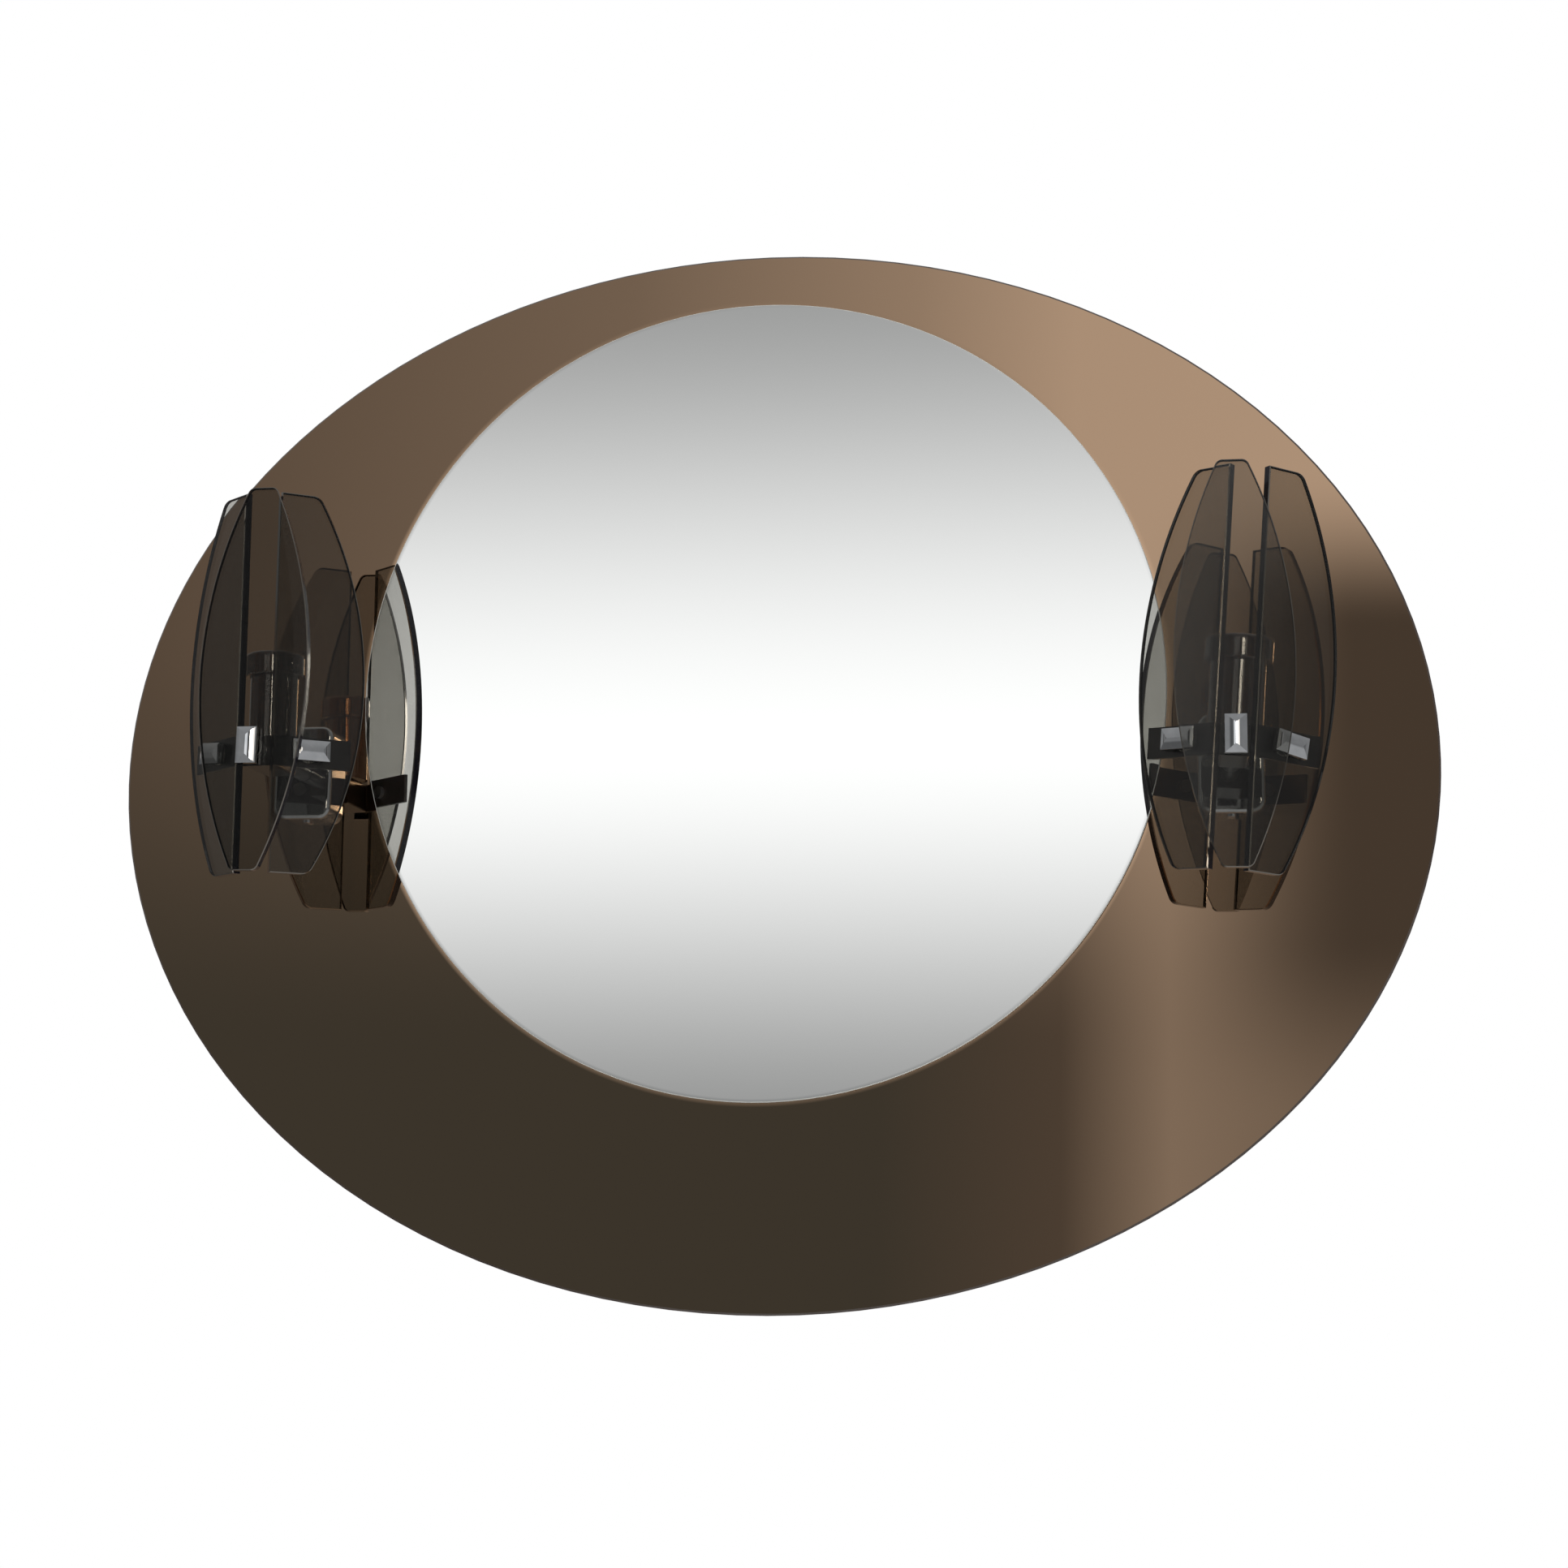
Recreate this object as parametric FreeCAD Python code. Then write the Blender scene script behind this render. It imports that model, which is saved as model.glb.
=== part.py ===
import FreeCAD, Part
import math
import os

# A lighted wall mirror: an oval of bronze mirror glass with a round clear mirror on its front, and two
# sconces that each hold three smoked-glass panes round an upright lamp-holder.
# Millimetres, +Z up, the front towards -Y. The origin is on the wall, behind the middle of the oval.

# Mirror glass
OVAL_WIDTH = 900.0
OVAL_HEIGHT = 728.0
BRONZE_THICKNESS = 5.0
BRONZE_ARRIS = 1.5
DISC_DIAMETER = 553.0
DISC_THICKNESS = 4.0
DISC_RISE = 50.0
GLASS_ARRIS = 0.6

# Backing board and the tape that holds the glass
BOARD_MARGIN = 45.0
BOARD_THICKNESS = 12.0
TAPE_THICKNESS = 1.0
BOARD_PAD_WIDTH = 70.0
BOARD_PAD_HEIGHT = 140.0
BOARD_PAD_STEP = 150.0
BOARD_PAD_RISE = 110.0
DISC_PAD_SIZE = 60.0
DISC_PAD_REACH = 120.0

# Sconce places: the gap from the disc's edge to the wall box, and the drop below the middle of the oval
BOX_TO_DISC = 19.0
SCONCE_DROP = 4.5

# How far each sconce stands turned on its arm, in degrees counter-clockwise seen from the front
LEFT_TURN_ANGLE = 1.2
RIGHT_TURN_ANGLE = -3.8

# Smoked-glass panes: depths are from the mirror's face to the back of the glass
PANE_THICKNESS = 6.0
PANE_HEIGHT = 256.0
PANE_BELOW_CLAMP = 81.5
PANE_HOLE = 8.0
FRONT_PANE_WIDTH = 74.0
FRONT_PANE_END = 18.0
FRONT_PANE_CORNER = 5.0
FRONT_PANE_DEPTH = 109.0
SIDE_PANE_WIDTH = 60.0
SIDE_PANE_END = 26.0
SIDE_PANE_CORNER = 8.0
SIDE_PANE_ANGLE = 35.0
SIDE_EDGE_GAP = 18.0
SIDE_EDGE_DEPTH = 98.3
SIDE_CLAMP_INSET = 24.5

# Pane bracket, a strip bent in two places
BRACKET_HEIGHT = 20.0
BRACKET_THICKNESS = 2.5
BRACKET_FLAT = 21.0
BRACKET_WING = 53.0
BRACKET_BEND = 1.0

# Clamp studs, bushes and hipped caps
STUD_DIAMETER = 5.0
STUD_IN_CAP = 4.2
STUD_IN_HUB = 10.0
STUD_HEAD_DIAMETER = 9.0
STUD_HEAD_THICKNESS = 3.0
BUSH_FLANGE_DIAMETER = 14.0
BUSH_FLANGE_THICKNESS = 1.0
WASHER_DIAMETER = 12.0
WASHER_THICKNESS = 1.0
SPACER_DIAMETER = 12.0
CAP_LENGTH = 24.0
CAP_WIDTH = 13.6
CAP_RIM = 4.0
CAP_ROOF = 2.0
CAP_ROOF_SWELL_SHARE = 0.67
CAP_RIDGE = 12.8
CAP_EDGE = 0.3
CAP_BORE = 4.6
CAP_PLAY = 0.1
OUTER_CAP_TURN_ANGLE = -6.5

# Arm tube and hub
TUBE_DIAMETER = 12.0
TUBE_WALL = 1.5
TUBE_IN_HUB = 8.0
TUBE_FLANGE_DIAMETER = 18.0
TUBE_FLANGE_THICKNESS = 2.4
TUBE_FLANGE_PLAY = 0.3
HUB_BACK_DEPTH = 54.0
HUB_WIDTH = 18.0
HUB_HEIGHT = 20.0
HUB_EDGE = 1.5

# Lamp-holder
HOLDER_DEPTH = 72.0
HOLDER_DIAMETER = 32.0
HOLDER_WALL = 1.2
HOLDER_HEIGHT = 59.5
RING_DIAMETER = 40.0
RING_HEIGHT = 16.0
RING_LIP = 4.5
RING_MOUTH = 22.0
RING_TOP_ROUND = 3.5
RING_FOOT_ROUND = 1.5
CORE_SINK = 5.0
SOCKET_DEPTH = 30.0
WELL_DIAMETER = 10.0
WELL_HEIGHT = 6.0
SHELL_BORE = 14.0
SHELL_WALL = 0.7
SHELL_SINK = 1.0
CONTACT_DIAMETER = 5.0
CONTACT_TAIL = 6.0
CONTACT_HEAD_DIAMETER = 8.0
CONTACT_HEAD_THICKNESS = 2.5
CONTACT_LIFT = 2.0
CHAMBER_DIAMETER = 8.0
CHAMBER_HEIGHT = 5.0
NIPPLE_DIAMETER = 10.0
NIPPLE_BORE = 6.5
NIPPLE_IN_HUB = 5.0
NIPPLE_IN_CORE = 10.0

# Wall box, mounting strap and gasket
BOX_WIDTH = 40.0
BOX_HEIGHT = 65.0
BOX_DEPTH = 16.0
BOX_WALL = 1.2
BOX_CORNER = 8.0
BOX_EDGE = 3.0
STRAP_WIDTH = 28.0
STRAP_HEIGHT = 54.0
STRAP_THICKNESS = 4.5
STRAP_RECESS = 2.0
COLLAR_DIAMETER = 18.0
COLLAR_LENGTH = 6.5
GASKET_THICKNESS = 1.0
STRAP_SCREW_SPACING = 40.0
STRAP_SCREW_DIAMETER = 4.0
STRAP_SCREW_HEAD_DIAMETER = 8.0
STRAP_SCREW_HEAD_THICKNESS = 2.2
STRAP_SCREW_IN_BOARD = 9.0
STRAP_SCREW_GLASS_HOLE = 8.0
BOX_SCREW_DIAMETER = 3.0
BOX_SCREW_HEAD_DIAMETER = 5.5
BOX_SCREW_HEAD_THICKNESS = 1.6
BOX_SCREW_IN_STRAP = 4.0

# Wiring in the back of the board
LEAD_DIAMETER = 5.0
LEAD_SINK = 4.0
LEAD_BEND = 8.0
LEAD_SWEEP = 30.0
LEAD_GLASS_HOLE = 10.0
LEAD_BOARD_HOLE = 14.0
BLOCK_DROP = 60.0
BLOCK_WIDTH = 30.0
BLOCK_HEIGHT = 16.0
BLOCK_THICKNESS = 9.0
BLOCK_SCREW_DIAMETER = 4.0
BLOCK_SCREW_DEPTH = 3.0
BLOCK_SCREW_STEP = 10.0
BLOCK_WIRE_HOLE = 3.0
POCKET_DEPTH = 10.0
TROUGH_WIDTH = 10.0
TROUGH_LENGTH = 34.0
SADDLE_LENGTH = 34.0
SADDLE_WIDTH = 10.0
SADDLE_THICKNESS = 2.0
SADDLE_DROP = 20.0
SADDLE_SCREW_SPACING = 22.0
CLIP_LENGTH = 20.0
CLIP_WIDTH = 8.0
CLIP_THICKNESS = 1.0
CLIP_RUN_SHARES = (0.25, 0.75)

# Keyhole hanger plates
HANGER_SPACING = 440.0
HANGER_RISE = 190.0
HANGER_WIDTH = 50.0
HANGER_HEIGHT = 34.0
HANGER_THICKNESS = 2.0
HANGER_SCREW_SPACING = 38.0
KEYHOLE_ENTRY = 10.0
KEYHOLE_SLOT = 5.2
KEYHOLE_RISE = 10.0
KEYHOLE_POCKET_MARGIN = 3.0
KEYHOLE_POCKET_DEPTH = 10.0
WOOD_SCREW_DIAMETER = 3.0
WOOD_SCREW_HEAD_DIAMETER = 6.0
WOOD_SCREW_HEAD_HEIGHT = 1.5
WOOD_SCREW_LENGTH = 9.0

# Fits
RUNNING_CLEARANCE = 0.05
LOOSE_CLEARANCE = 0.1
FREE_CLEARANCE = 0.3
POCKET_CLEARANCE = 1.0
CUT_OVERRUN = 1.0
FLAT_TOLERANCE = 0.001

# Places worked out from the sizes above
Vector = FreeCAD.Vector
FRONTWARD = Vector(0, -1, 0)
BACKWARD = Vector(0, 1, 0)
UPWARD = Vector(0, 0, 1)
BRONZE_BACK = BOARD_THICKNESS + TAPE_THICKNESS
MIRROR_FACE = BRONZE_BACK + BRONZE_THICKNESS
SCONCE_REACH = DISC_DIAMETER / 2 + BOX_TO_DISC + BOX_WIDTH / 2
ANGLE = math.radians(SIDE_PANE_ANGLE)
BRACKET_FACE = SIDE_EDGE_DEPTH - (
    BUSH_FLANGE_THICKNESS + (BRACKET_FLAT - SIDE_EDGE_GAP) / 2 * math.sin(ANGLE)
) / math.cos(ANGLE)
BRACKET_REAR = BRACKET_FACE - BRACKET_THICKNESS
STRAP_FACE = GASKET_THICKNESS + STRAP_THICKNESS
HUB_TOP = HUB_HEIGHT / 2
RING_TOP = HUB_TOP + HOLDER_HEIGHT
SLEEVE_TOP = RING_TOP - RING_LIP
CORE_TOP = SLEEVE_TOP - CORE_SINK
SOCKET_FLOOR = CORE_TOP - SOCKET_DEPTH
SHELL_SEAT = SOCKET_FLOOR + WELL_HEIGHT
SLEEVE_BORE = HOLDER_DIAMETER - 2 * HOLDER_WALL
SHELL_DIAMETER = SHELL_BORE + 2 * SHELL_WALL
NIPPLE_TOP = HUB_TOP + NIPPLE_IN_CORE
SIDES = {"left": -1, "right": 1}
TURN_ANGLES = {"left": LEFT_TURN_ANGLE, "right": RIGHT_TURN_ANGLE}


def out(x, depth, z):
    """A point at that distance in front of the plane it is measured from."""
    return Vector(x, -depth, z)


def rod(diameter, start, end):
    """A round bar from one point to another."""
    run = end - start
    return Part.makeCylinder(diameter / 2, run.Length, start, run)


def pipe(diameter, bore, start, end):
    """A round bar with a bore right through."""
    return rod(diameter, start, end).cut(rod(bore, start, end))


def slab(width, height, back, front, x=0, z=0):
    """A rectangular block between two depths, centred on x and z."""
    return Part.makeBox(width, front - back, height, Vector(x - width / 2, -front, z - height / 2))


def plate(edges, back, front):
    """A flat plate between two depths from the edges of its outline, drawn at depth zero."""
    sheet = Part.Face(Part.Wire(Part.__sortEdges__(edges)))
    sheet.translate(out(0, back, 0))
    return sheet.extrude(out(0, front - back, 0))


def oval_plate(width, height, back, front):
    """An oval plate between two depths, wider than it is high."""
    oval = Part.Ellipse(Vector(width / 2, 0, 0), Vector(0, 0, height / 2), Vector(0, 0, 0))
    return plate([oval.toShape()], back, front)


def rim_edges(shape):
    """Edges that lie flat in a plate's front and back faces."""
    return [edge for edge in shape.Edges if edge.BoundBox.YLength < FLAT_TOLERANCE]


def corner_edges(shape):
    """Straight edges that run through a plate from front to back."""
    return [
        edge
        for edge in shape.Edges
        if edge.BoundBox.XLength < FLAT_TOLERANCE and edge.BoundBox.ZLength < FLAT_TOLERANCE
    ]


def group(solids):
    """Separate solids kept together in one node."""
    return Part.makeCompound(solids)


def swept(edges, diameter, start, heading):
    """A round lead along joined straight runs and arcs."""
    path = Part.Wire(edges)
    ring = Part.Wire(Part.makeCircle(diameter / 2, start, heading))
    return path.makePipeShell([ring], True, True)


def on_wall(shape, side):
    """A copy of a sconce piece in its place on the mirror's face."""
    placed = shape.copy()
    placed.translate(Vector(side * SCONCE_REACH, -MIRROR_FACE, -SCONCE_DROP))
    return placed


def turned(shape, angle):
    """A copy of a sconce piece turned about its arm."""
    placed = shape.copy()
    placed.rotate(Vector(0, 0, 0), FRONTWARD, angle)
    return placed


def at_clamp(shape, lean):
    """A copy of a clamp piece, drawn from the back of its pane, at the front clamp or a side one."""
    placed = shape.copy()
    placed.rotate(Vector(0, 0, 0), UPWARD, lean * SIDE_PANE_ANGLE)
    if lean == 0:
        placed.translate(out(0, FRONT_PANE_DEPTH, 0))
        return placed
    reach = SIDE_EDGE_GAP / 2 + SIDE_CLAMP_INSET * math.cos(ANGLE)
    placed.translate(out(lean * reach, SIDE_EDGE_DEPTH - SIDE_CLAMP_INSET * math.sin(ANGLE), 0))
    return placed


# Mirror glass, tape and board


def bronze_mirror():
    """The bronze oval, bored for each sconce's lead and strap screws."""
    glass = oval_plate(OVAL_WIDTH, OVAL_HEIGHT, BRONZE_BACK, MIRROR_FACE)
    glass = glass.makeChamfer(BRONZE_ARRIS, rim_edges(glass))
    for side in SIDES.values():
        x = side * SCONCE_REACH
        back = BRONZE_BACK - CUT_OVERRUN
        front = MIRROR_FACE + CUT_OVERRUN
        glass = glass.cut(rod(LEAD_GLASS_HOLE, out(x, back, -SCONCE_DROP), out(x, front, -SCONCE_DROP)))
        for end in (-1, 1):
            z = end * STRAP_SCREW_SPACING / 2 - SCONCE_DROP
            glass = glass.cut(rod(STRAP_SCREW_GLASS_HOLE, out(x, back, z), out(x, front, z)))
    return glass


def clear_mirror_disc():
    """The round clear mirror, raised on its tape."""
    back = MIRROR_FACE + TAPE_THICKNESS
    disc = rod(DISC_DIAMETER, out(0, back, DISC_RISE), out(0, back + DISC_THICKNESS, DISC_RISE))
    return disc.makeChamfer(GLASS_ARRIS, rim_edges(disc))


def mirror_tape():
    """Pads of double-sided tape behind the oval and behind the disc."""
    pads = []
    for column_share in (-1.5, -0.5, 0.5, 1.5):
        for row in (-1, 1):
            x = column_share * BOARD_PAD_STEP
            z = row * BOARD_PAD_RISE
            pads.append(slab(BOARD_PAD_WIDTH, BOARD_PAD_HEIGHT, BOARD_THICKNESS, BRONZE_BACK, x, z))
    front = MIRROR_FACE + TAPE_THICKNESS
    pads.append(slab(DISC_PAD_SIZE, DISC_PAD_SIZE, MIRROR_FACE, front, 0, DISC_RISE))
    for across in (-1, 1):
        for up in (-1, 1):
            z = DISC_RISE + up * DISC_PAD_REACH
            pads.append(slab(DISC_PAD_SIZE, DISC_PAD_SIZE, MIRROR_FACE, front, across * DISC_PAD_REACH, z))
    return group(pads)


def groove(side):
    """The channel in the back of the board for one sconce's lead."""
    width = LEAD_DIAMETER + 2 * FREE_CLEARANCE
    floor = LEAD_SINK + width / 2
    drop_x = side * BLOCK_SCREW_STEP
    bend_x = drop_x + side * LEAD_SWEEP
    bend_z = -SCONCE_DROP - LEAD_SWEEP
    run = SCONCE_REACH - abs(bend_x)
    level_run = slab(run, width, -CUT_OVERRUN, floor, bend_x + side * run / 2, -SCONCE_DROP)
    fall = bend_z + BLOCK_DROP
    down_run = slab(width, fall, -CUT_OVERRUN, floor, drop_x, bend_z - fall / 2)
    turn_start = out(bend_x, -CUT_OVERRUN, bend_z)
    turn = pipe(2 * LEAD_SWEEP + width, 2 * LEAD_SWEEP - width, turn_start, out(bend_x, floor, bend_z))
    quarter = LEAD_SWEEP + width
    sector = slab(quarter, quarter, -CUT_OVERRUN, floor, bend_x - side * quarter / 2, bend_z + quarter / 2)
    return level_run.fuse([down_run, turn.common(sector)])


def clip_places(side):
    """Middle of each clip along the level run of one lead."""
    start = BLOCK_SCREW_STEP + LEAD_SWEEP
    run = SCONCE_REACH - LEAD_BEND - start
    return [(side * (start + share * run), -SCONCE_DROP) for share in CLIP_RUN_SHARES]


def lead_clips():
    """Flat clips let into the back of the board across the two leads."""
    places = [place for side in SIDES.values() for place in clip_places(side)]
    return group([slab(CLIP_WIDTH, CLIP_LENGTH, 0, CLIP_THICKNESS, x, z) for x, z in places])


def hanger_places():
    """Middle of each hanger plate."""
    return [side * HANGER_SPACING / 2 for side in SIDES.values()]


def wood_screw_places():
    """Every small countersunk screw in the back of the board."""
    places = []
    for x in hanger_places():
        for end in (-1, 1):
            places.append((x + end * HANGER_SCREW_SPACING / 2, HANGER_RISE))
    for end in (-1, 1):
        places.append((end * SADDLE_SCREW_SPACING / 2, saddle_height()))
    return places


def saddle_height():
    """Height of the cable saddle, below the terminal block."""
    return -BLOCK_DROP - SADDLE_DROP


def wood_screw(x, z):
    """A countersunk wood screw, its head flush with the back of the board."""
    head_radius = WOOD_SCREW_HEAD_DIAMETER / 2
    shank_radius = WOOD_SCREW_DIAMETER / 2
    head = Part.makeCone(head_radius, shank_radius, WOOD_SCREW_HEAD_HEIGHT, out(x, 0, z), FRONTWARD)
    shank = rod(WOOD_SCREW_DIAMETER, out(x, WOOD_SCREW_HEAD_HEIGHT, z), out(x, WOOD_SCREW_LENGTH, z))
    return head.fuse(shank).removeSplitter()


def wood_screws():
    """The small countersunk screws as one group."""
    return group([wood_screw(*place) for place in wood_screw_places()])


def hanger_plate(x):
    """One hanger plate with a round entry and a narrow slot above it."""
    piece = slab(HANGER_WIDTH, HANGER_HEIGHT, 0, HANGER_THICKNESS, x, HANGER_RISE)
    entry_z = HANGER_RISE - KEYHOLE_RISE / 2
    slot_z = HANGER_RISE + KEYHOLE_RISE / 2
    back = -CUT_OVERRUN
    front = HANGER_THICKNESS + CUT_OVERRUN
    piece = piece.cut(rod(KEYHOLE_ENTRY, out(x, back, entry_z), out(x, front, entry_z)))
    piece = piece.cut(rod(KEYHOLE_SLOT, out(x, back, slot_z), out(x, front, slot_z)))
    piece = piece.cut(slab(KEYHOLE_SLOT, KEYHOLE_RISE, back, front, x, HANGER_RISE))
    for end in (-1, 1):
        piece = piece.cut(wood_screw(x + end * HANGER_SCREW_SPACING / 2, HANGER_RISE))
    return piece


def hanger_plates():
    """Both hanger plates, let in flush with the back of the board."""
    return group([hanger_plate(x) for x in hanger_places()])


def cable_saddle():
    """The bar that will hold the supply cable, across its trough."""
    bar = slab(SADDLE_LENGTH, SADDLE_WIDTH, 0, SADDLE_THICKNESS, 0, saddle_height())
    for end in (-1, 1):
        bar = bar.cut(wood_screw(end * SADDLE_SCREW_SPACING / 2, saddle_height()))
    return bar


def terminal_block():
    """A terminal block with a row of screws and a wire hole through each pole."""
    floor = POCKET_DEPTH
    back = floor - BLOCK_THICKNESS
    block = slab(BLOCK_WIDTH, BLOCK_HEIGHT, back, floor, 0, -BLOCK_DROP)
    for pole in (-1, 0, 1):
        x = pole * BLOCK_SCREW_STEP
        middle = (back + floor) / 2
        reach = BLOCK_HEIGHT / 2 + CUT_OVERRUN
        hole_foot = out(x, middle, -BLOCK_DROP - reach)
        hole_top = out(x, middle, -BLOCK_DROP + reach)
        block = block.cut(rod(BLOCK_WIRE_HOLE, hole_foot, hole_top))
        for row in (-1, 1):
            z = -BLOCK_DROP + row * BLOCK_HEIGHT / 4
            block = block.cut(rod(BLOCK_SCREW_DIAMETER, out(x, 0, z), out(x, back + BLOCK_SCREW_DEPTH, z)))
    return block


def backing_board():
    """The plywood board, with its channels, pockets and screw holes."""
    width = OVAL_WIDTH - 2 * BOARD_MARGIN
    height = OVAL_HEIGHT - 2 * BOARD_MARGIN
    board = oval_plate(width, height, 0, BOARD_THICKNESS)
    back = -CUT_OVERRUN
    cuts = []
    for side in SIDES.values():
        x = side * SCONCE_REACH
        cuts.append(groove(side))
        front = BOARD_THICKNESS + CUT_OVERRUN
        cuts.append(rod(LEAD_BOARD_HOLE, out(x, back, -SCONCE_DROP), out(x, front, -SCONCE_DROP)))
        for end in (-1, 1):
            z = end * STRAP_SCREW_SPACING / 2 - SCONCE_DROP
            tip = BOARD_THICKNESS - STRAP_SCREW_IN_BOARD
            cuts.append(rod(STRAP_SCREW_DIAMETER, out(x, tip, z), out(x, BOARD_THICKNESS, z)))
    for x in hanger_places():
        pocket_width = KEYHOLE_ENTRY + 2 * KEYHOLE_POCKET_MARGIN
        pocket_height = pocket_width + KEYHOLE_RISE
        cuts.append(slab(HANGER_WIDTH, HANGER_HEIGHT, back, HANGER_THICKNESS, x, HANGER_RISE))
        cuts.append(slab(pocket_width, pocket_height, 0, KEYHOLE_POCKET_DEPTH, x, HANGER_RISE))
    trough_top = -BLOCK_DROP - BLOCK_HEIGHT / 2
    pocket_width = BLOCK_WIDTH + 2 * POCKET_CLEARANCE
    pocket_height = BLOCK_HEIGHT + 2 * POCKET_CLEARANCE
    cuts.append(slab(pocket_width, pocket_height, back, POCKET_DEPTH, 0, -BLOCK_DROP))
    cuts.append(slab(TROUGH_WIDTH, TROUGH_LENGTH, back, POCKET_DEPTH, 0, trough_top - TROUGH_LENGTH / 2))
    cuts.append(slab(SADDLE_LENGTH, SADDLE_WIDTH, back, SADDLE_THICKNESS, 0, saddle_height()))
    cuts.extend(lead_clips().Solids)
    cuts.extend(wood_screws().Solids)
    for tool in cuts:
        board = board.cut(tool)
    return board


def board_lead(side):
    """One lead, from the mirror's face behind a sconce across and down to the terminal block."""
    x = side * SCONCE_REACH
    z = -SCONCE_DROP
    half = math.sqrt(0.5)
    start = out(x, MIRROR_FACE, z)
    turn_in = out(x, LEAD_SINK + LEAD_BEND, z)
    turn_mid = out(x - side * LEAD_BEND * (1 - half), LEAD_SINK + LEAD_BEND * (1 - half), z)
    turn_out = out(x - side * LEAD_BEND, LEAD_SINK, z)
    drop_x = side * BLOCK_SCREW_STEP
    sweep_in = out(drop_x + side * LEAD_SWEEP, LEAD_SINK, z)
    slack = LEAD_SWEEP * (1 - half)
    sweep_mid = out(drop_x + side * slack, LEAD_SINK, z - slack)
    sweep_out = out(drop_x, LEAD_SINK, z - LEAD_SWEEP)
    end = out(drop_x, LEAD_SINK, -BLOCK_DROP + BLOCK_HEIGHT / 2)
    edges = [
        Part.LineSegment(start, turn_in).toShape(),
        Part.Arc(turn_in, turn_mid, turn_out).toShape(),
        Part.LineSegment(turn_out, sweep_in).toShape(),
        Part.Arc(sweep_in, sweep_mid, sweep_out).toShape(),
        Part.LineSegment(sweep_out, end).toShape(),
    ]
    return swept(edges, LEAD_DIAMETER, start, BACKWARD)


def board_leads():
    """Both leads in the board."""
    return group([board_lead(side) for side in SIDES.values()])


# Wall box and mounting strap, drawn from the mirror's face


def wall_box():
    """The rounded cover, open at the back and bored for the arm tube."""
    shell = slab(BOX_WIDTH, BOX_HEIGHT, 0, BOX_DEPTH)
    shell = shell.makeFillet(BOX_CORNER, corner_edges(shell))
    face_edges = [edge for edge in rim_edges(shell) if edge.BoundBox.YMin < -BOX_DEPTH / 2]
    shell = shell.makeFillet(BOX_EDGE, face_edges)
    hollow = slab(BOX_WIDTH - 2 * BOX_WALL, BOX_HEIGHT - 2 * BOX_WALL, -CUT_OVERRUN, BOX_DEPTH - BOX_WALL)
    hollow = hollow.makeFillet(BOX_CORNER - BOX_WALL, corner_edges(hollow))
    face_edges = [edge for edge in rim_edges(hollow) if edge.BoundBox.YMin < -BOX_DEPTH / 2]
    hollow = hollow.makeFillet(BOX_EDGE - BOX_WALL, face_edges)
    shell = shell.cut(hollow)
    tube_hole = TUBE_DIAMETER + 2 * FREE_CLEARANCE
    shell = shell.cut(rod(tube_hole, out(0, 0, 0), out(0, BOX_DEPTH + CUT_OVERRUN, 0)))
    for end in (-1, 1):
        shell = shell.cut(box_screw(end))
    return shell


def box_screw(end):
    """A small screw through the box's top or bottom wall into the strap's end."""
    depth = GASKET_THICKNESS + STRAP_THICKNESS / 2
    wall = end * BOX_HEIGHT / 2
    tip = end * (STRAP_HEIGHT / 2 - BOX_SCREW_IN_STRAP)
    crown = wall + end * BOX_SCREW_HEAD_THICKNESS
    head = rod(BOX_SCREW_HEAD_DIAMETER, out(0, depth, wall), out(0, depth, crown))
    return head.fuse(rod(BOX_SCREW_DIAMETER, out(0, depth, tip), out(0, depth, wall))).removeSplitter()


def strap_screw(end):
    """A pan-head wood screw through the strap and the glass into the board."""
    z = end * STRAP_SCREW_SPACING / 2
    tip = STRAP_SCREW_IN_BOARD + TAPE_THICKNESS + BRONZE_THICKNESS
    shank = rod(STRAP_SCREW_DIAMETER, out(0, -tip, z), out(0, STRAP_FACE, z))
    head_face = STRAP_FACE + STRAP_SCREW_HEAD_THICKNESS
    head = rod(STRAP_SCREW_HEAD_DIAMETER, out(0, STRAP_FACE, z), out(0, head_face, z))
    return shank.fuse(head).removeSplitter()


def mounting_strap():
    """The steel strap with the collar that the arm tube turns in."""
    strap = slab(STRAP_WIDTH, STRAP_HEIGHT, GASKET_THICKNESS, STRAP_FACE)
    strap = strap.fuse(rod(COLLAR_DIAMETER, out(0, STRAP_FACE, 0), out(0, STRAP_FACE + COLLAR_LENGTH, 0)))
    collar_end = STRAP_FACE + COLLAR_LENGTH + CUT_OVERRUN
    strap = strap.cut(rod(TUBE_DIAMETER + 2 * RUNNING_CLEARANCE, out(0, 0, 0), out(0, collar_end, 0)))
    recess = GASKET_THICKNESS + STRAP_RECESS
    strap = strap.cut(rod(TUBE_FLANGE_DIAMETER + 2 * FREE_CLEARANCE, out(0, 0, 0), out(0, recess, 0)))
    for end in (-1, 1):
        strap = strap.cut(strap_screw(end))
        strap = strap.cut(box_screw(end))
    return strap


def strap_gasket():
    """The soft gasket between the strap and the glass."""
    gasket = slab(STRAP_WIDTH, STRAP_HEIGHT, 0, GASKET_THICKNESS)
    front = GASKET_THICKNESS + CUT_OVERRUN
    hole = TUBE_FLANGE_DIAMETER + 2 * FREE_CLEARANCE
    gasket = gasket.cut(rod(hole, out(0, -CUT_OVERRUN, 0), out(0, front, 0)))
    for end in (-1, 1):
        gasket = gasket.cut(strap_screw(end))
    return gasket


# Arm, hub and bracket, drawn from the mirror's face


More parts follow.
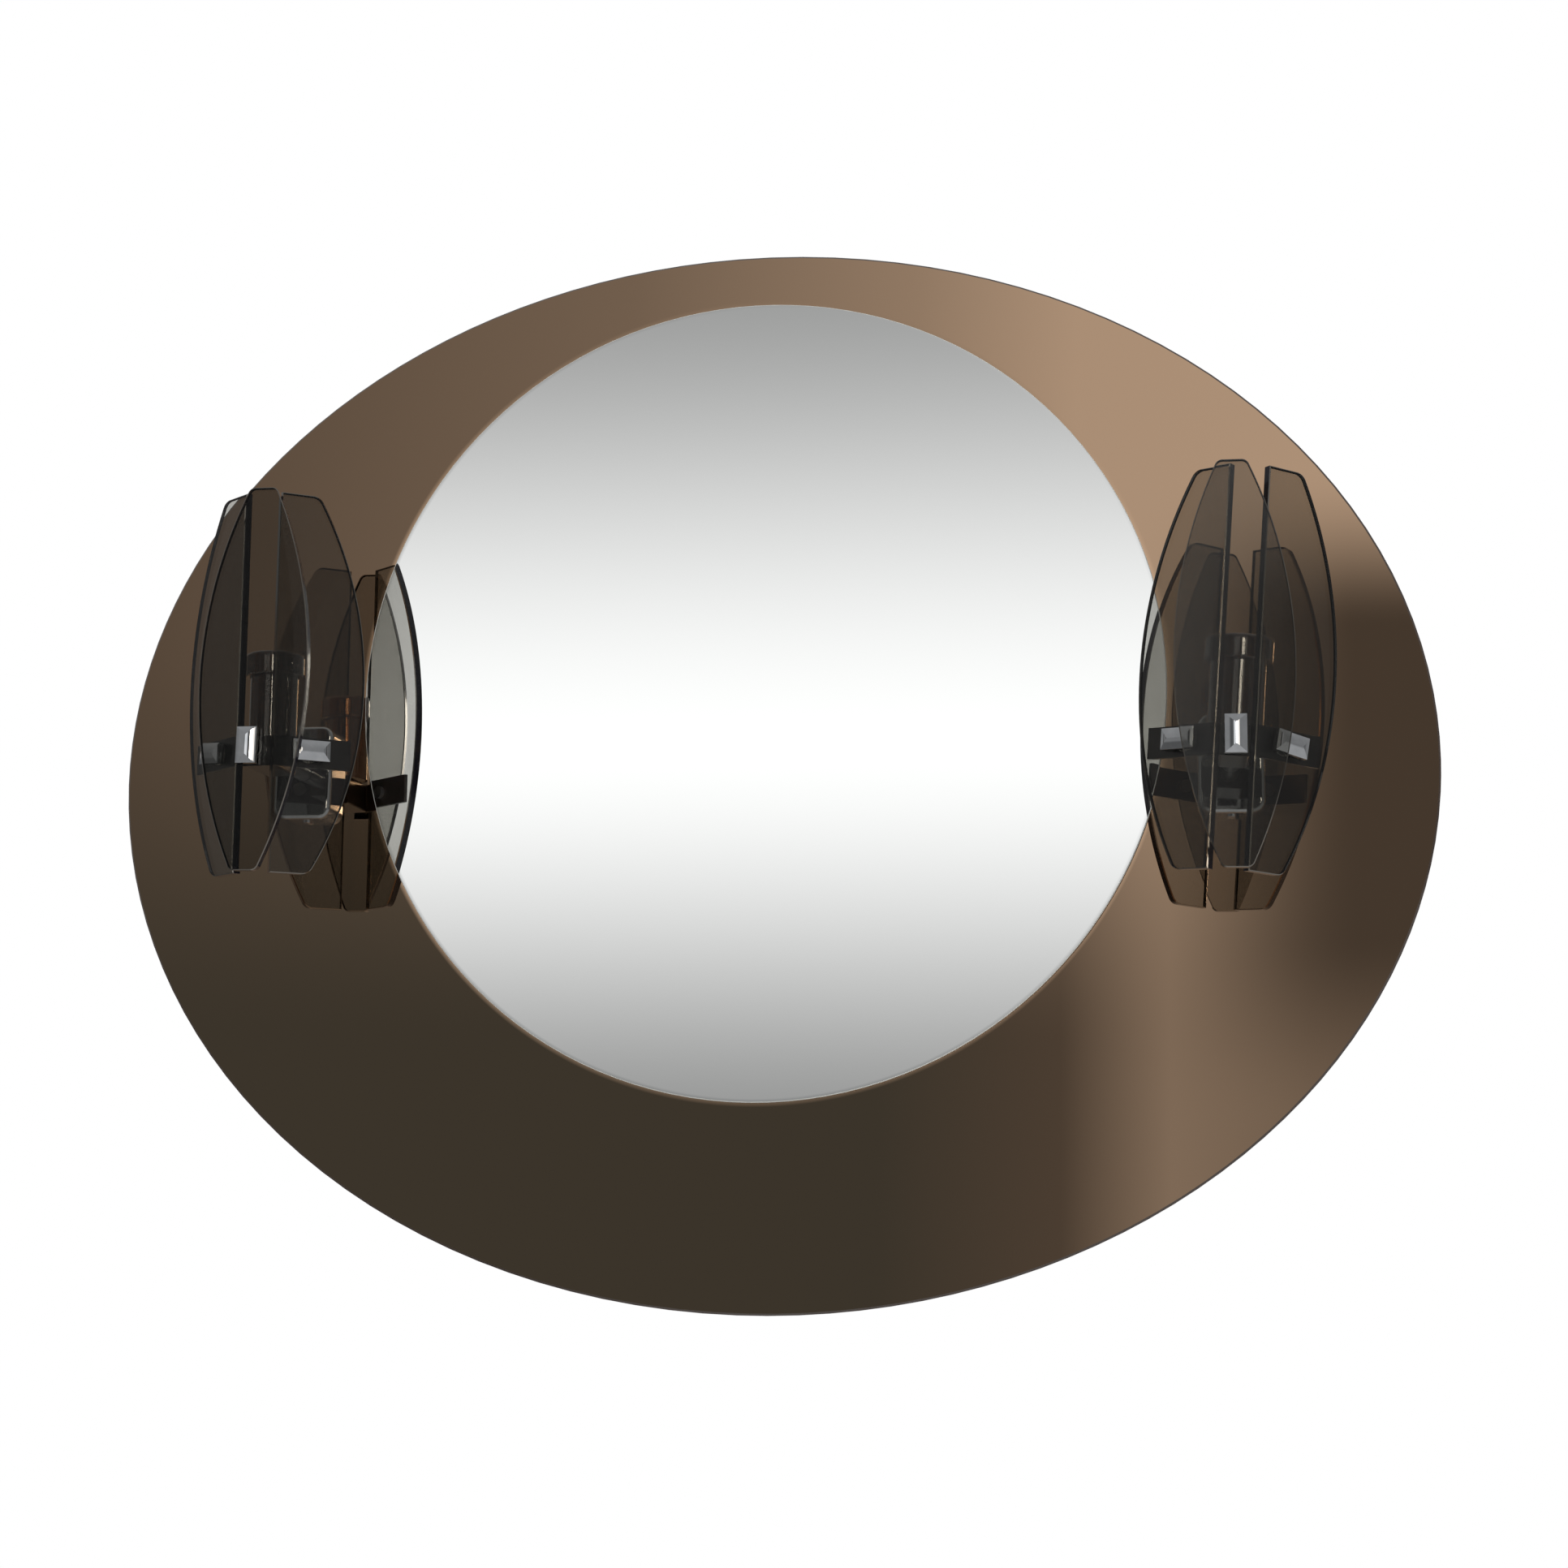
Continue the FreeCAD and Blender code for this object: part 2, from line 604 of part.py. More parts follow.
def arm_tube():
    """The hollow arm, with a flange that the strap traps against the glass."""
    flange_back = GASKET_THICKNESS + STRAP_RECESS - TUBE_FLANGE_PLAY - TUBE_FLANGE_THICKNESS
    flange_front = flange_back + TUBE_FLANGE_THICKNESS
    flange = rod(TUBE_FLANGE_DIAMETER, out(0, flange_back, 0), out(0, flange_front, 0))
    end = HUB_BACK_DEPTH + TUBE_IN_HUB
    tube = rod(TUBE_DIAMETER, out(0, flange_back, 0), out(0, end, 0)).fuse(flange).removeSplitter()
    return tube.cut(rod(TUBE_DIAMETER - 2 * TUBE_WALL, out(0, flange_back, 0), out(0, end, 0)))


def hub():
    """The block that joins the arm, the bracket and the lamp-holder, with a channel for the lead."""
    block = slab(HUB_WIDTH, HUB_HEIGHT, HUB_BACK_DEPTH, BRACKET_REAR)
    block = block.makeFillet(HUB_EDGE, corner_edges(block))
    tube_end = HUB_BACK_DEPTH + TUBE_IN_HUB
    channel = TUBE_DIAMETER - 2 * TUBE_WALL
    block = block.cut(rod(TUBE_DIAMETER, out(0, HUB_BACK_DEPTH, 0), out(0, tube_end, 0)))
    block = block.cut(rod(channel, out(0, tube_end, 0), out(0, HOLDER_DEPTH + channel / 2, 0)))
    block = block.cut(rod(NIPPLE_DIAMETER, out(0, HOLDER_DEPTH, 0), out(0, HOLDER_DEPTH, HUB_TOP)))
    return block.cut(rod(STUD_DIAMETER, out(0, BRACKET_REAR - STUD_IN_HUB, 0), out(0, BRACKET_REAR, 0)))


def wing_point(along, behind, side):
    """A point on a wing in plan: along it from the pane's inner edge, and behind the pane's back."""
    x = SIDE_EDGE_GAP / 2 + along * math.cos(ANGLE) - behind * math.sin(ANGLE)
    depth = SIDE_EDGE_DEPTH - along * math.sin(ANGLE) - behind * math.cos(ANGLE)
    return out(side * x, depth, -BRACKET_HEIGHT / 2)


def upright_edges(strip, depth):
    """The bend lines of the bracket that lie at one depth."""
    return [
        edge
        for edge in strip.Edges
        if edge.BoundBox.YLength < FLAT_TOLERANCE
        and edge.BoundBox.XLength < FLAT_TOLERANCE
        and abs(edge.BoundBox.YMin + depth) < BRACKET_THICKNESS / 4
        and abs(edge.BoundBox.Center.x) < BRACKET_FLAT / 2 + FLAT_TOLERANCE
    ]


def pane_bracket():
    """The bent strip behind the three panes."""
    face = BUSH_FLANGE_THICKNESS
    rear = face + BRACKET_THICKNESS
    rear_bend = SIDE_EDGE_GAP / 2
    rear_bend += ((SIDE_EDGE_DEPTH - BRACKET_REAR) * math.cos(ANGLE) - rear) / math.sin(ANGLE)
    flat = BRACKET_FLAT / 2
    foot = -BRACKET_HEIGHT / 2
    corners = [
        wing_point(BRACKET_WING, face, -1),
        out(-flat, BRACKET_FACE, foot),
        out(flat, BRACKET_FACE, foot),
        wing_point(BRACKET_WING, face, 1),
        wing_point(BRACKET_WING, rear, 1),
        out(rear_bend, BRACKET_REAR, foot),
        out(-rear_bend, BRACKET_REAR, foot),
        wing_point(BRACKET_WING, rear, -1),
    ]
    strip = Part.Face(Part.makePolygon(corners + corners[:1])).extrude(UPWARD * BRACKET_HEIGHT)
    strip = strip.makeFillet(BRACKET_BEND + BRACKET_THICKNESS, upright_edges(strip, BRACKET_FACE))
    strip = strip.makeFillet(BRACKET_BEND, upright_edges(strip, BRACKET_REAR))
    for lean in (-1, 0, 1):
        hole = rod(STUD_DIAMETER, out(0, -FRONT_PANE_DEPTH, 0), out(0, 0, 0))
        if lean:
            hole = rod(STUD_DIAMETER, out(0, -rear - CUT_OVERRUN, 0), out(0, 0, 0))
        strip = strip.cut(at_clamp(hole, lean))
    return strip


def spacer_sleeve():
    """The sleeve that holds the front pane clear of the side panes' edges."""
    start = out(0, BRACKET_FACE, 0)
    return pipe(SPACER_DIAMETER, STUD_DIAMETER, start, out(0, FRONT_PANE_DEPTH - BUSH_FLANGE_THICKNESS, 0))


def clamp_studs():
    """The three studs: the front one screws into the hub, the side ones have a head behind the bracket."""
    tip = PANE_THICKNESS + WASHER_THICKNESS + CAP_PLAY + STUD_IN_CAP
    root = FRONT_PANE_DEPTH - BRACKET_REAR + STUD_IN_HUB
    studs = [at_clamp(rod(STUD_DIAMETER, out(0, -root, 0), out(0, tip, 0)), 0)]
    seat = BUSH_FLANGE_THICKNESS + BRACKET_THICKNESS
    screw = rod(STUD_DIAMETER, out(0, -seat, 0), out(0, tip, 0))
    head = rod(STUD_HEAD_DIAMETER, out(0, -seat - STUD_HEAD_THICKNESS, 0), out(0, -seat, 0))
    screw = screw.fuse(head).removeSplitter()
    studs.extend(at_clamp(screw, lean) for lean in (-1, 1))
    return group(studs)


# Panes, bushes and caps, drawn from the back of the glass at the clamp


def finished_pane(glass):
    """A pane with its sharp edges taken off and its hole bored."""
    glass = glass.makeChamfer(GLASS_ARRIS, rim_edges(glass))
    return glass.cut(rod(PANE_HOLE, out(0, -CUT_OVERRUN, 0), out(0, PANE_THICKNESS + CUT_OVERRUN, 0)))


def front_pane():
    """The front pane: two bowed sides and short flat ends."""
    foot = -PANE_BELOW_CLAMP
    top = foot + PANE_HEIGHT
    middle = foot + PANE_HEIGHT / 2
    end = FRONT_PANE_END / 2
    bulge = FRONT_PANE_WIDTH / 2
    edges = [
        Part.LineSegment(Vector(-end, 0, foot), Vector(end, 0, foot)).toShape(),
        Part.Arc(Vector(end, 0, foot), Vector(bulge, 0, middle), Vector(end, 0, top)).toShape(),
        Part.LineSegment(Vector(end, 0, top), Vector(-end, 0, top)).toShape(),
        Part.Arc(Vector(-end, 0, top), Vector(-bulge, 0, middle), Vector(-end, 0, foot)).toShape(),
    ]
    glass = plate(edges, 0, PANE_THICKNESS)
    return finished_pane(glass.makeFillet(FRONT_PANE_CORNER, corner_edges(glass)))


def side_pane(side):
    """A side pane: a straight inner edge and one bowed side."""
    foot = -PANE_BELOW_CLAMP
    top = foot + PANE_HEIGHT
    middle = foot + PANE_HEIGHT / 2
    inner = -side * SIDE_CLAMP_INSET
    end = inner + side * SIDE_PANE_END
    bulge = inner + side * SIDE_PANE_WIDTH
    edges = [
        Part.LineSegment(Vector(inner, 0, foot), Vector(end, 0, foot)).toShape(),
        Part.Arc(Vector(end, 0, foot), Vector(bulge, 0, middle), Vector(end, 0, top)).toShape(),
        Part.LineSegment(Vector(end, 0, top), Vector(inner, 0, top)).toShape(),
        Part.LineSegment(Vector(inner, 0, top), Vector(inner, 0, foot)).toShape(),
    ]
    glass = plate(edges, 0, PANE_THICKNESS)
    outer_from = end * side - FLAT_TOLERANCE
    outer = [edge for edge in corner_edges(glass) if edge.BoundBox.Center.x * side > outer_from]
    return finished_pane(glass.makeFillet(SIDE_PANE_CORNER, outer))


def pane_bush():
    """A flanged bush in the pane's hole, and the washer in front of the glass."""
    bore = STUD_DIAMETER + 2 * RUNNING_CLEARANCE
    sleeve = rod(PANE_HOLE - 2 * RUNNING_CLEARANCE, out(0, 0, 0), out(0, PANE_THICKNESS, 0))
    flange = rod(BUSH_FLANGE_DIAMETER, out(0, -BUSH_FLANGE_THICKNESS, 0), out(0, 0, 0))
    bush = sleeve.fuse(flange).removeSplitter()
    bush = bush.cut(rod(bore, out(0, -BUSH_FLANGE_THICKNESS, 0), out(0, PANE_THICKNESS, 0)))
    washer_face = PANE_THICKNESS + WASHER_THICKNESS
    return group([bush, pipe(WASHER_DIAMETER, bore, out(0, PANE_THICKNESS, 0), out(0, washer_face, 0))])


def cap_bar(half_foot, half_ridge, half_length):
    """A bar with a cap's outline: a straight rim with rounded eaves under a swelled roof."""
    seat = PANE_THICKNESS + WASHER_THICKNESS + CAP_PLAY
    eave = seat + CAP_RIM
    swell = eave + CAP_ROOF * CAP_ROOF_SWELL_SHARE
    end = -half_length - CUT_OVERRUN
    feet = [out(side * half_foot, seat, end) for side in (-1, 1)]
    eaves = [out(side * half_foot, eave, end) for side in (-1, 1)]
    swells = [out(side * (half_foot + half_ridge) / 2, swell, end) for side in (-1, 1)]
    ridges = [out(side * half_ridge, eave + CAP_ROOF, end) for side in (-1, 1)]
    lines = [feet, *zip(feet, eaves)]
    if half_ridge:
        lines.append(ridges)
    edges = [Part.LineSegment(*ends).toShape() for ends in lines]
    edges.extend(Part.Arc(*points).toShape() for points in zip(eaves, swells, ridges))
    section = Part.Face(Part.Wire(Part.__sortEdges__(edges)))
    bar = section.extrude(UPWARD * 2 * -end)
    eave_edges = [
        edge
        for edge in bar.Edges
        if edge.BoundBox.ZLength > half_length and abs(edge.BoundBox.YMin + eave) < FLAT_TOLERANCE
    ]
    return bar.makeFillet(CAP_EDGE, eave_edges)


def clamp_cap(turn):
    """A hipped cap nut; its ridge runs along its length and stands upright before it is turned."""
    cap = cap_bar(CAP_WIDTH / 2, 0, CAP_LENGTH / 2)
    along = cap_bar(CAP_LENGTH / 2, CAP_RIDGE / 2, CAP_WIDTH / 2)
    along.rotate(Vector(0, 0, 0), FRONTWARD, 90)
    cap = cap.common(along).removeSplitter()
    bore = STUD_DIAMETER + 2 * RUNNING_CLEARANCE
    seat = PANE_THICKNESS + WASHER_THICKNESS + CAP_PLAY
    cap = cap.cut(rod(bore, out(0, seat - CUT_OVERRUN, 0), out(0, seat + CAP_BORE, 0)))
    cap.rotate(Vector(0, 0, 0), FRONTWARD, turn)
    return cap.Solids[0]


# Lamp-holder, drawn from the mirror's face


def level(height):
    """A point on the lamp-holder's axis."""
    return out(0, HOLDER_DEPTH, height)


def holder_nipple():
    """The hollow nipple that holds the lamp-holder on the hub."""
    return pipe(NIPPLE_DIAMETER, NIPPLE_BORE, level(HUB_TOP - NIPPLE_IN_HUB), level(NIPPLE_TOP))


def holder_core():
    """The core that carries the socket shell and guides the centre contact."""
    core = rod(SLEEVE_BORE - 2 * LOOSE_CLEARANCE, level(HUB_TOP), level(CORE_TOP))
    core = core.cut(rod(NIPPLE_DIAMETER, level(HUB_TOP), level(NIPPLE_TOP)))
    core = core.cut(rod(CHAMBER_DIAMETER, level(NIPPLE_TOP), level(NIPPLE_TOP + CHAMBER_HEIGHT)))
    guide = CONTACT_DIAMETER + 2 * RUNNING_CLEARANCE
    core = core.cut(rod(guide, level(NIPPLE_TOP), level(SOCKET_FLOOR)))
    core = core.cut(rod(WELL_DIAMETER, level(SOCKET_FLOOR), level(SHELL_SEAT)))
    return core.cut(rod(SHELL_DIAMETER + 2 * RUNNING_CLEARANCE, level(SHELL_SEAT), level(CORE_TOP)))


def holder_sleeve():
    """The tube round the core."""
    return pipe(HOLDER_DIAMETER, SLEEVE_BORE, level(HUB_TOP), level(SLEEVE_TOP))


def holder_ring():
    """The ring that closes the top of the sleeve and leaves a mouth for the lamp."""
    foot = RING_TOP - RING_HEIGHT
    ring = rod(RING_DIAMETER, level(foot), level(RING_TOP))
    top_edges = [edge for edge in ring.Edges if edge.BoundBox.ZMin > RING_TOP - FLAT_TOLERANCE]
    ring = ring.makeFillet(RING_TOP_ROUND, top_edges)
    foot_edges = [edge for edge in ring.Edges if edge.BoundBox.ZMax < foot + FLAT_TOLERANCE]
    ring = ring.makeFillet(RING_FOOT_ROUND, foot_edges)
    ring = ring.cut(rod(HOLDER_DIAMETER + 2 * LOOSE_CLEARANCE, level(foot), level(SLEEVE_TOP)))
    return ring.cut(rod(RING_MOUTH, level(foot), level(RING_TOP)))


def socket_shell():
    """The thin threaded shell that takes the lamp's cap, drawn plain at the thread's widest."""
    return pipe(SHELL_DIAMETER, SHELL_BORE, level(SHELL_SEAT), level(CORE_TOP - SHELL_SINK))


def centre_contact():
    """The sprung contact button, raised clear of the floor of its well."""
    underside = SOCKET_FLOOR + CONTACT_LIFT
    tail = rod(CONTACT_DIAMETER, level(SOCKET_FLOOR - CONTACT_TAIL), level(underside))
    head = rod(CONTACT_HEAD_DIAMETER, level(underside), level(underside + CONTACT_HEAD_THICKNESS))
    return tail.fuse(head).removeSplitter()


def lamp_lead():
    """The lead through the arm tube and up the nipple to the lamp-holder."""
    start = out(0, 0, 0)
    turn_in = out(0, HOLDER_DEPTH - LEAD_BEND, 0)
    half = math.sqrt(0.5)
    turn_mid = out(0, HOLDER_DEPTH - LEAD_BEND * (1 - half), LEAD_BEND * (1 - half))
    turn_out = level(LEAD_BEND)
    edges = [
        Part.LineSegment(start, turn_in).toShape(),
        Part.Arc(turn_in, turn_mid, turn_out).toShape(),
        Part.LineSegment(turn_out, level(NIPPLE_TOP)).toShape(),
    ]
    return swept(edges, LEAD_DIAMETER, start, FRONTWARD)


def arm_pieces():
    """The arm and all that is fixed to it, by the last part of each node's name."""
    return {
        "arm_tube": arm_tube(),
        "hub": hub(),
        "pane_bracket": pane_bracket(),
        "clamp_studs": clamp_studs(),
        "spacer_sleeve": spacer_sleeve(),
        "holder_nipple": holder_nipple(),
        "holder_core": holder_core(),
        "holder_sleeve": holder_sleeve(),
        "holder_ring": holder_ring(),
        "socket_shell": socket_shell(),
        "centre_contact": centre_contact(),
        "lamp_lead": lamp_lead(),
    }


def clamped_pieces(place, lean, cap_turn):
    """A pane, its bush and its cap at one clamp."""
    return {
        place + "_pane": at_clamp(side_pane(lean) if lean else front_pane(), lean),
        place + "_bush": at_clamp(pane_bush(), lean),
        place + "_cap": at_clamp(clamp_cap(cap_turn), lean),
    }


def sconce_pieces(name, side):
    """Every piece of one sconce, by node name, in its place; the box and the front pane stand upright."""
    leaning = arm_pieces()
    leaning.update(clamped_pieces("inner", -side, 90))
    leaning.update(clamped_pieces("outer", side, 90 + OUTER_CAP_TURN_ANGLE))
    shapes = {piece: turned(shape, TURN_ANGLES[name]) for piece, shape in leaning.items()}
    shapes["wall_box"] = wall_box()
    shapes.update(clamped_pieces("front", 0, 0))
    return {name + "_" + piece: on_wall(shape, side) for piece, shape in shapes.items()}


def paired(make):
    """One piece for each sconce, as a group in place."""
    return group([on_wall(make(), side) for side in SIDES.values()])


def paired_screws(make):
    """Two screws for each sconce, as a group in place."""
    return group([on_wall(make(end), side) for side in SIDES.values() for end in (-1, 1)])


def all_pieces():
    """Every node's shape by name."""
    pieces = {
        "backing_board": backing_board(),
        "bronze_mirror": bronze_mirror(),
        "clear_mirror_disc": clear_mirror_disc(),
        "mirror_tape": mirror_tape(),
        "hanger_plates": hanger_plates(),
        "wood_screws": wood_screws(),
        "terminal_block": terminal_block(),
        "cable_saddle": cable_saddle(),
        "board_leads": board_leads(),
        "lead_clips": lead_clips(),
        "mounting_straps": paired(mounting_strap),
        "strap_gaskets": paired(strap_gasket),
        "strap_screws": paired_screws(strap_screw),
        "wall_box_screws": paired_screws(box_screw),
    }
    for name, side in SIDES.items():
        pieces.update(sconce_pieces(name, side))
    return pieces


def main():
    """Builds every piece and writes it under its node's name."""
    os.makedirs("parts", exist_ok=True)
    for name, shape in all_pieces().items():
        shape.exportStep("parts/" + name + ".step")
        print(name, len(shape.Solids), shape.isValid(), round(shape.Volume))


main()
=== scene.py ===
"""Looks of a lighted wall mirror: finishes for every solid, fine fittings, a studio and the camera."""

import logging
import math
from dataclasses import dataclass, field
from enum import Enum
from typing import Any

import bmesh
import bpy
from mathutils import Matrix, Vector


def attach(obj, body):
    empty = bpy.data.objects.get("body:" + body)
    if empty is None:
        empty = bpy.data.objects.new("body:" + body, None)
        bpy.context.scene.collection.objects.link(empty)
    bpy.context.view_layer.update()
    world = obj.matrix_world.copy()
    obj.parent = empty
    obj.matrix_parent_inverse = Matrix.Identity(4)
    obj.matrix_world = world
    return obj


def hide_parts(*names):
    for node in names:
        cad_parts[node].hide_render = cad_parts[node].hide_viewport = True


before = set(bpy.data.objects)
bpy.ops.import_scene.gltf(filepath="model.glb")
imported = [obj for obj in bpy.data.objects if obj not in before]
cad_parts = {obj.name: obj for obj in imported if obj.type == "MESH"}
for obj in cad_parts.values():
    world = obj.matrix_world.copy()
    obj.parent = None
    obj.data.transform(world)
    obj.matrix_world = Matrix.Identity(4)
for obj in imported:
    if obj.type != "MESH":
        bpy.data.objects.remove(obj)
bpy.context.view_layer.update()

LOG = logging.getLogger("wall_mirror")
MM = 0.001

Span = tuple[float, float]
Triple = tuple[float, float, float]
Colour = tuple[float, float, float, float]
Levels = tuple[tuple[float, float], ...]
Stops = list[tuple[float, Colour]]
Socket = bpy.types.NodeSocket
Tree = bpy.types.NodeTree

FORWARD = Vector((0.0, -1.0, 0.0))
BACKWARD = -FORWARD
# Points closer than this are one.
MERGE = 1e-7
# A count of bounces under this is none.
NO_BOUNCE = 0.5
# Where each sconce's arm stands: aside from the oval's middle, and below it.
ARM_REACH = 315.5 * MM
ARM_DROP = 4.5 * MM
# What a mixing node is told when it mixes colours.
IN_COLOUR = {"out": "Result_Color", "data_type": "RGBA"}


class Side(Enum):
    """The two sconces: the sign of their place along X, and how many degrees each stands turned."""

    LEFT = (-1, 1.2)
    RIGHT = (1, -3.8)

    @property
    def sign(self) -> int:
        """Which way the sconce lies along X."""
        return self.value[0]

    @property
    def turn(self) -> float:
        """How far the sconce stands turned, counter-clockwise seen from the front."""
        return math.radians(self.value[1])

    @property
    def prefix(self) -> str:
        """First word of the sconce's node names."""
        return self.name.lower() + "_"


class Lean(Enum):
    """How a pane faces: straight ahead, or turned by some degrees towards one side."""

    FRONT = 0.0
    TO_LEFT = -35.0
    TO_RIGHT = 35.0

    @property
    def normal(self) -> Vector:
        """The way the pane's face looks."""
        angle = math.radians(self.value)
        return Vector((math.sin(angle), -math.cos(angle), 0.0))


def linear(code: str, share: float = 1.0) -> Colour:
    """Turns an sRGB hex colour into linear light.

    Args:
        code: colour as six hex digits after a hash.
        share: how much of the light is kept.

    Returns:
        Red, green, blue and an alpha of one.
    """
    parts = [int(code[i : i + 2], 16) / 255.0 for i in (1, 3, 5)]
    light = [p / 12.92 if p <= 0.04045 else ((p + 0.055) / 1.055) ** 2.4 for p in parts]
    return (light[0] * share, light[1] * share, light[2] * share, 1.0)


def grey(value: float) -> Colour:
    """A neutral colour of this much linear light."""
    return (value, value, value, 1.0)


def greys(levels: Levels) -> Stops:
    """The stops of a neutral ramp from each one's place and light."""
    return [(place, grey(level)) for place, level in levels]


def between(span: Span, first: Colour, last: Colour) -> Stops:
    """The stops of a ramp that goes from one colour to another over a span."""
    return [(span[0], first), (span[1], last)]


def add_node(
    tree: Tree, kind: str, inputs: dict[str, Any] | None = None, out: str | None = None, **settings: Any
) -> Socket | None:
    """Adds one shader node with its settings, constants and links.

    Args:
        tree: node tree to add to.
        kind: the node's type name after the word that all of them share.
        inputs: each socket's identifier with a constant, or with an output socket to link.
        out: identifier of the output that is wanted, or none for the first.
        settings: attributes of the node, and the stops of a ramp.

    Returns:
        The output socket, or none for a node that ends its tree.
    """
    node = tree.nodes.new("ShaderNode" + kind)
    stops = settings.pop("stops", [])
    for key, value in settings.items():
        setattr(node, key, value)
    sockets = {socket.identifier: socket for socket in node.inputs}
    for key, value in (inputs or {}).items():
        if isinstance(value, Socket):
            tree.links.new(value, sockets[key])
        else:
            sockets[key].default_value = value
    for number, (place, colour) in enumerate(stops):
        known = node.color_ramp.elements
        element = known[number] if number < len(known) else known.new(place)
        element.position = place
        element.color = colour
    results = {socket.identifier: socket for socket in node.outputs}
    return results.get(out or next(iter(results), ""))


@dataclass(frozen=True)
class Finish:
    """A material and how its surface was made."""

    name: str

    def sockets(self, tree: Tree) -> dict[str, Any]:
        """Draws the patterns and says what goes into each socket of the surface shader."""
        raise NotImplementedError

    def make(self) -> bpy.types.Material:
        """Builds the material once and returns it after that.

        Returns:
            The material of this finish.
        """
        known = bpy.data.materials.get(self.name)
        if known is not None:
            return known
        material = bpy.data.materials.new(self.name)
        material.use_nodes = True
        tree = material.node_tree
        tree.nodes.clear()
        surface = add_node(tree, "BsdfPrincipled", self.sockets(tree))
        add_node(tree, "OutputMaterial", {"Surface": surface})
        return material

    @staticmethod
    def facing(tree: Tree, way: Vector) -> Socket:
        """How squarely a surface faces one way in the object's own frame, as a cosine."""
        both = {"Vector": add_node(tree, "TexCoord", out="Normal"), "Vector_001": tuple(way)}
        return add_node(tree, "VectorMath", both, "Value", operation="DOT_PRODUCT")

    @staticmethod
    def clouds(tree: Tree, size_mm: float, detail: float = 3.0, stretch: Triple = (1, 1, 1)) -> Socket:
        """A soft random pattern of a real size.

        Args:
            tree: node tree to add to.
            size_mm: size of one feature in millimetres.
            detail: finer octaves on top.
            stretch: how many times longer a feature is along each axis.

        Returns:
            The pattern's value socket.
        """
        spot = add_node(tree, "TexCoord", out="Object")
        place = add_node(tree, "Mapping", {"Vector": spot, "Scale": tuple(1.0 / times for times in stretch)})
        return add_node(tree, "TexNoise", {"Vector": place, "Scale": 1.0 / (size_mm * MM), "Detail": detail})


@dataclass(frozen=True)
class MirrorGlass(Finish):
    """Float glass silvered on its back: a clean image, a ground rim line and a painted back."""

    silver: str
    rim: str
    paint: str
    square: float = 0.9
    rim_rough: float = 0.22
    paint_rough: float = 0.6
    paint_mm: float = 14.0
    paint_span: Span = (0.3, 0.7)
    thin_paint: float = 1.25
    glass_ior: float = 1.52
    glass_gloss: float = 0.6

    def sockets(self, tree: Tree) -> dict[str, Any]:
        """Splits front, rim and back by the way the surface faces.

        Args:
            tree: the material's node tree.

        Returns:
            What goes into each socket of the surface shader.
        """
        squarely = self.facing(tree, FORWARD)
        front, back = (
            add_node(tree, "Math", {"Value": squarely, "Value_001": limit}, operation=test)
            for limit, test in ((self.square, "GREATER_THAN"), (-self.square, "LESS_THAN"))
        )
        # The paint on the back is rolled on and dries a little uneven.
        coats = between(self.paint_span, linear(self.paint), linear(self.paint, self.thin_paint))
        uneven = self.clouds(tree, self.paint_mm, detail=4.0)
        rolled = add_node(tree, "ValToRGB", {"Fac": uneven}, stops=coats)
        back_and_rim = {"Factor_Float": back, "A_Color": linear(self.rim), "B_Color": rolled}
        behind = add_node(tree, "Mix", back_and_rim, **IN_COLOUR)
        whole = {"Factor_Float": front, "A_Color": behind, "B_Color": linear(self.silver)}
        # The silvered front is quite clear, the rim is ground and the paint is dull.
        dullness = {"Value": back, "To Min": self.rim_rough, "To Max": self.paint_rough}
        dull = add_node(tree, "MapRange", dullness)
        return {
            "Base Color": add_node(tree, "Mix", whole, **IN_COLOUR),
            "Metallic": front,
            "Roughness": add_node(tree, "Mix", {"Factor_Float": front, "A_Float": dull, "B_Float": 0.0}),
            "IOR": self.glass_ior,
            "Coat Weight": self.glass_gloss,
            "Coat Roughness": 0.0,
            "Coat IOR": self.glass_ior,
        }


